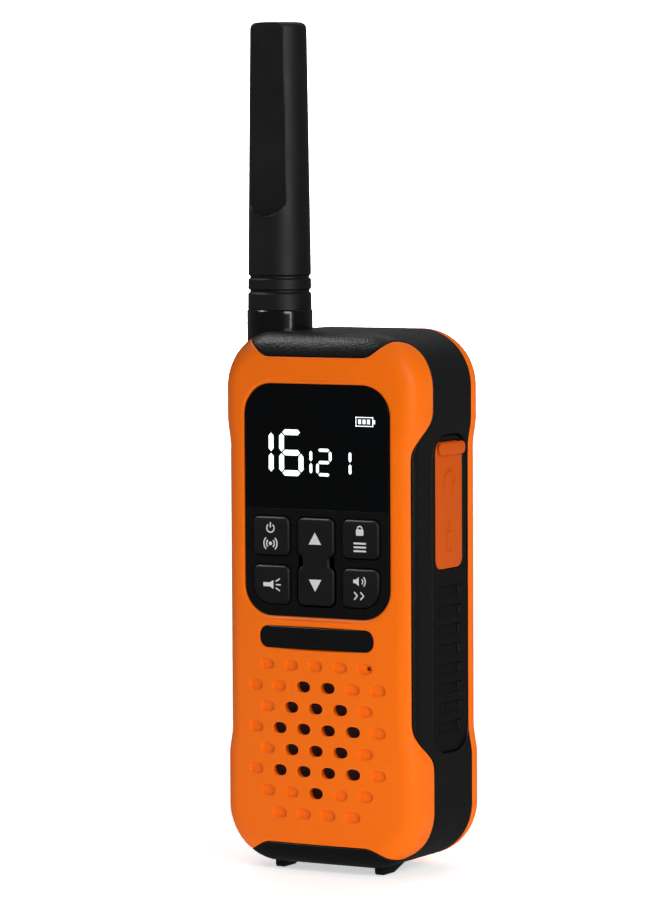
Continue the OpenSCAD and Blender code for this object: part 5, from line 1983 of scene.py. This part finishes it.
@dataclass
class TalkButton:
    """The talk button on the left side."""

    box: Box
    flap: Box

    def build(self) -> bpy.types.Object:
        """Builds the button with its three raised bars."""
        f, face = self.flap, -self.box.x0 - 0.25
        d0, d1 = f.d0 + 0.05, f.d0 + 12.25
        shell = Shell()
        outline = round_box(d0, d1, f.z0 + 0.05, f.z1 - 0.05, 2.35, 8)
        rows = rounded_levels(face, 21.2, 0.7, 1.0, 5)
        rows.append(Level(-2.2, face + 0.04))
        sweep(shell, outline, rows, Axis.LEFT)
        flange = round_box(d0 - 0.95, d1 + 0.95, f.z0 - 0.95, f.z1 + 0.95, 3, 6)
        sweep(shell, flange, [Level(0, 20.3), Level(0, 21.15)], Axis.LEFT)
        nub = arc((d0 + d1) / 2, f.cz, 1.6, 0, 360, 24)[:-1]
        sweep(shell, nub, [Level(0, 19.7), Level(0, 20.4)], Axis.LEFT)
        for i in (-1, 0, 1):
            bar = round_box(d0 + 3.2, d1 - 3.2, f.cz + 4 * i - 0.55, f.cz + 4 * i + 0.55, 0.54, 6)
            sweep(shell, bar, [Level(0.1, face - 0.2), Level(0.0, face + 0.08), Level(-0.15, face + 0.24)], Axis.LEFT)
        return shell.build("talk_button_moulding", 35)


# ---- back ----


@dataclass
class Fasteners:
    """The four case screws with cross recesses."""

    back_d: float
    spots: tuple[tuple[float, float], ...]
    feet: tuple[tuple[float, float], ...]
    foot_d: float

    def build(self) -> bpy.types.Object:
        """Builds the screws with Geometry Nodes from one model."""
        shell = Shell()
        ring = arc(0, 0, 2.25, 0, 360, 40)[:-1]
        rows = rows_of((-1.25, -11.5), (-1.25, 0.0), (0, 0.0), (0, 0.45), (-0.12, 0.72), (-0.5, 0.88))
        sweep(shell, ring, rows, Axis.DEPTH)
        screw = at_origin(shell, "screw")
        cross = Shell()
        arm, half = 1.45, 0.3
        for flip in (False, True):
            flat = round_box(-arm, arm, -half, half, 0.1, 2)
            if flip:
                flat = np.stack([-flat[:, 1], flat[:, 0]], axis=1)
            sweep(cross, flat, [Level(-0.12, 0.25), Level(0.05, 1.5)], Axis.DEPTH)
        cut(screw, [at_origin(cross, "drive_cutter")])
        places = [(x, self.back_d - 1.1, z) for x, z in self.spots]
        places += [(x, self.foot_d, z) for x, z in self.feet]
        return Repeater.spread("case_screw_heads", screw, places, STEEL)


@dataclass
class BeltClip:
    """The sprung belt clip behind the body."""

    node: str = "belt_clip"

    def build(self) -> bpy.types.Object:
        """Rounds the edges of the CAD form."""
        source = bpy.data.objects[self.node]
        mesh = source.data.copy()
        obj = bpy.data.objects.new("belt_clip_moulding", mesh)
        bpy.context.scene.collection.objects.link(obj)
        bm = bmesh.new()
        bm.from_mesh(mesh)
        bmesh.ops.remove_doubles(bm, verts=bm.verts, dist=2e-6)
        bmesh.ops.dissolve_limit(bm, angle_limit=math.radians(1.0), verts=bm.verts, edges=bm.edges)
        bm.to_mesh(mesh)
        bm.free()
        mod = obj.modifiers.new("soften", "BEVEL")
        mod.width = 0.45 * MM
        mod.segments = 3
        mod.limit_method = "ANGLE"
        mod.angle_limit = math.radians(35)
        bake_modifiers(obj)
        tidy_mesh(obj.data, 35)
        weigh_normals(obj)
        return obj


# ---- studio ----


@dataclass(frozen=True)
class Studio:
    """Floor, lights and camera."""

    azimuth: float = 29.812
    elevation: float = 3.870
    roll: float = -0.2845
    place: tuple[float, float, float] = (0.4981, -0.8820, 0.1623)
    lens_mm: float = 180.0
    fill: float = 0.13

    def build(self) -> None:
        """Sets up everything that isn't the radio."""
        self.cove()
        self.backdrop()
        self.world()
        self.lights()
        self.camera()
        bpy.context.scene.view_settings.view_transform = "Standard"

    def pale(self, name: str, glow: float, specular: float) -> bpy.types.Material:
        """Makes a matt white paper for the ground.

        Args:
            name: name of the material.
            glow: strength of its own even light.
            specular: specular level.

        Returns:
            The material.
        """
        mat = bpy.data.materials.new(name)
        mat.use_nodes = True
        inputs = mat.node_tree.nodes["Principled BSDF"].inputs
        inputs["Base Color"].default_value = linear("#FAFAFA")
        inputs["Roughness"].default_value = 0.8
        inputs["Specular IOR Level"].default_value = specular
        inputs["Emission Color"].default_value = linear("#FFFFFF")
        inputs["Emission Strength"].default_value = glow
        return mat

    def cove(self) -> None:
        """Lays a plain pale floor that curves up into a wall far behind."""
        front, back, rise, wide = -0.3, 2.6, 1.6, 1.5
        r = 0.7
        line = [(front, 0.0), (back - r, 0.0)]
        line += [(back - r + r * math.sin(t), r - r * math.cos(t)) for t in np.linspace(0.1, math.pi / 2, 14)]
        line.append((back, rise))
        a = math.radians(self.azimuth)
        away, side = Vector((-math.sin(a), math.cos(a), 0)), Vector((math.cos(a), math.sin(a), 0))
        points = [away * d + side * s + Vector((0, 0, h)) for d, h in line for s in (-wide, wide)]
        quads = [(2 * i, 2 * i + 1, 2 * i + 3, 2 * i + 2) for i in range(len(line) - 1)]
        mesh = bpy.data.meshes.new("floor")
        mesh.from_pydata(points, [], quads)
        mesh.shade_smooth()
        obj = bpy.data.objects.new("floor", mesh)
        bpy.context.scene.collection.objects.link(obj)
        mesh.materials.append(self.pale("pale_floor", 0.55, 0.2))
        obj.visible_glossy = False

    def backdrop(self) -> None:
        """Rings the floor with a white bowl that only the camera sees, so every side has a pale ground."""
        sides, low, curve = 64, -0.002, 0.7
        line = [(0.02, low), (1.9, low)]
        bends = np.linspace(0.2, math.pi / 2, 8)
        line += [(1.9 + curve * math.sin(t), low + curve - curve * math.cos(t)) for t in bends]
        line.append((2.6, 3.0))
        turns = [math.tau * i / sides for i in range(sides)]
        points = [(r * math.cos(t), r * math.sin(t), h) for r, h in line for t in turns]
        quads = [
            (k * sides + i, k * sides + (i + 1) % sides, (k + 1) * sides + (i + 1) % sides, (k + 1) * sides + i)
            for k in range(len(line) - 1) for i in range(sides)
        ]
        quads.append(tuple(range(sides)))
        mesh = bpy.data.meshes.new("backdrop")
        mesh.from_pydata(points, [], quads)
        obj = bpy.data.objects.new("backdrop", mesh)
        bpy.context.scene.collection.objects.link(obj)
        obj.visible_glossy = obj.visible_diffuse = obj.visible_shadow = obj.visible_transmission = False
        mesh.materials.append(self.pale("white_backdrop", 1.0, 0.5))

    def world(self) -> None:
        """Fills the room with faint even light."""
        world = bpy.data.worlds.new("room")
        world.use_nodes = True
        back = world.node_tree.nodes["Background"]
        back.inputs[0].default_value = linear("#FFFFFF")
        back.inputs[1].default_value = self.fill
        bpy.context.scene.world = world

    def lights(self) -> None:
        """Hangs the soft boxes: name, heading and height in degrees, distance, watts and size."""
        boxes = (
            ("key", -34, 26, 1.2, 9.0, 0.4, 0.7),
            ("left", -132, 30, 1.4, 0.4, 0.2, 0.8),
            ("brow", -155, 54, 1.3, 13.0, 0.5, 0.3),
            ("strip", -22, 8, 1.2, 2.0, 0.08, 0.7),
            ("top", 112, 66, 1.5, 7.0, 1.3, 1.0),
        )
        for name, heading, height, away, power, wide, high in boxes:
            self.box_light(name, heading, height, away, power, wide, high, Vector((0, 0, 0.08)))
        for name in ("brow", "strip"):
            bpy.data.objects[name].visible_diffuse = False
        self.box_light("wall", self.azimuth + 90, 20, 1.6, 26.0, 1.4, 0.4, Vector((-1.3, 2.2, 0.5)))

    def box_light(
        self, name: str, heading: float, height: float, away: float, power: float, wide: float, high: float,
        aim: Vector,
    ) -> None:
        """Hangs one soft box.

        Args:
            name: its name.
            heading: direction from the radio in degrees, anticlockwise from +X.
            height: elevation in degrees.
            away: distance in metres.
            power: watts.
            wide: width of the box.
            high: height of the box.
            aim: point it looks at.
        """
        a, e = math.radians(heading), math.radians(height)
        at = Vector((math.cos(a) * math.cos(e), math.sin(a) * math.cos(e), math.sin(e))) * away
        data = bpy.data.lights.new(name, "AREA")
        data.shape = "RECTANGLE"
        data.size, data.size_y = wide, high
        data.energy = power
        obj = bpy.data.objects.new(name, data)
        obj.location = at
        obj.rotation_mode = "QUATERNION"
        obj.rotation_quaternion = (aim - at).to_track_quat("-Z", "Y")
        bpy.context.scene.collection.objects.link(obj)

    def camera(self) -> None:
        """Sets the camera a little above the radio, in front of its right side."""
        a, e, t = (math.radians(v) for v in (self.azimuth, self.elevation, self.roll))
        back = Vector((math.sin(a) * math.cos(e), -math.cos(a) * math.cos(e), math.sin(e)))
        right = Vector((math.cos(a), math.sin(a), 0))
        up = back.cross(right)
        r2 = right * math.cos(t) + up * math.sin(t)
        u2 = up * math.cos(t) - right * math.sin(t)
        data = bpy.data.cameras.new("camera")
        data.lens = self.lens_mm
        data.sensor_width = 36
        data.clip_start, data.clip_end = 0.05, 20
        obj = bpy.data.objects.new("camera", data)
        turn = Matrix((r2, u2, back)).transposed().to_4x4()
        obj.matrix_world = Matrix.Translation(Vector(self.place)) @ turn
        bpy.context.scene.collection.objects.link(obj)
        bpy.context.scene.camera = obj


# ---- assembly ----


@dataclass
class Radio:
    """The whole radio."""

    nodes: dict[str, bpy.types.Object] = field(default_factory=dict)

    def dress_carried(self) -> None:
        """Gives every CAD node that stays its finish."""
        for name, finish in CARRIED_OVER.items():
            dress(self.nodes[name], finish)
            log.info("%s: carried over", name)

    def build(self) -> None:
        """Builds the sub-assemblies in order."""
        back, door = Site.box("back_shell"), Site.box("battery_door")
        form = BodyForm(Site.box("mid_frame").x1, door.z0, back.z1, back.d1)
        parting = Parting(form)
        lens, bezel = Site.box("display_lens"), Site.box("key_bezel")
        panel = Box(bezel.x0, bezel.x1, 0, 1, bezel.z0, lens.z1)
        plate = Site.box("name_plate")
        collar = Site.box("antenna_base")
        collar = Box(collar.x0, collar.x1, collar.d0, collar.d1, collar.z0 + 6.5, collar.z1)
        grip, flap = Site.box("grip_right"), Site.box("port_cover")
        speaker = Site.box("speaker_gauze")
        grille = Grille(speaker.cz + 3.5 * Grille.pitch_z)
        flap = Box(flap.x0, flap.x1, flap.d0, flap.d0 + 12.3, flap.z0, flap.z1)
        recess_x = grip.x0
        face = FaceShell(form, parting, panel, plate, grille, collar)
        hand_over(face.build(), "case", ORANGE_ABS, ["front_shell"])
        black = BlackFrame(form, parting, collar, Site.box("lamp_lens"), grip, flap, recess_x, back.d0 - 0.15)
        hand_over(black.build(), "case", BLACK_NYLON, ["mid_frame"])
        hand_over(black.feet((-12.8, 12.8)), "case", BLACK_NYLON)
        top_screws = ((-17.4, form.top - 20.5), (17.4, form.top - 20.5))
        foot_screws = ((-14.6, form.bottom + 6.6), (14.6, form.bottom + 6.6))
        rear = BackShell(form, back.d0, door, top_screws)
        hand_over(rear.build(), "case", ORANGE_ABS, ["back_shell"])
        hand_over(rear.build_door(), "battery_door", ORANGE_ABS, ["battery_door"])
        screws = Fasteners(form.back_d, top_screws, foot_screws, back.d0 - 0.15)
        hand_over(screws.build(), "case", STEEL, ["case_screws"])
        display = Display(lens)
        hand_over(display.build_lens(), "case", SMOKED_ACRYLIC, ["display_lens"])
        hand_over(display.build_figures(), "case", LIT_BARS, ["display_segments"])
        Keypad(bezel, Site.box("channel_rocker")).build()
        hand_over(NamePlate(plate, form).build(), "case", BLACK_GLOSS, ["name_plate"])
        antenna = Antenna(Site.box("antenna_base"), Site.box("antenna_sleeve"))
        hand_over(antenna.build_collar(), "case", BLACK_GLOSS, ["antenna_base"])
        hand_over(antenna.build_sleeve(), "case", ANTENNA_TPU, ["antenna_sleeve"])
        for name, axis in (("grip_right", Axis.RIGHT), ("grip_left", Axis.LEFT)):
            pad = SideGrip(grip, flap, recess_x, axis).build(f"{name}_pad")
            hand_over(pad, "case", GRIP_TPE, [name])
            beads = SideGrip(grip, flap, recess_x, axis).beads(f"{name}_beads")
            hand_over(beads, "case", GRIP_TPE)
        cover = PortFlap(Site.box("port_cover"), recess_x)
        hand_over(cover.build(), "port_cover", ORANGE_SILICONE_PAINTED_SHADE, ["port_cover"])
        hand_over(cover.build_marks(), "port_cover", ORANGE_SILICONE_PAINTED_SHADE)
        talk = TalkButton(Site.box("talk_button"), flap)
        hand_over(talk.build(), "talk_button", GRIP_TPE, ["talk_button"])
        hand_over(BeltClip().build(), "belt_clip", BLACK_NYLON, ["belt_clip"])
        self.dress_carried()


def main() -> None:
    """Loads the frame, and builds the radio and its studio."""
    logging.basicConfig(level=logging.INFO, format="%(name)s %(message)s")
    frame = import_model()
    Site.settle()
    Studio().build()
    Radio(frame["nodes"]).build()
    bpy.context.view_layer.update()


if __name__ == "__main__":
    main()
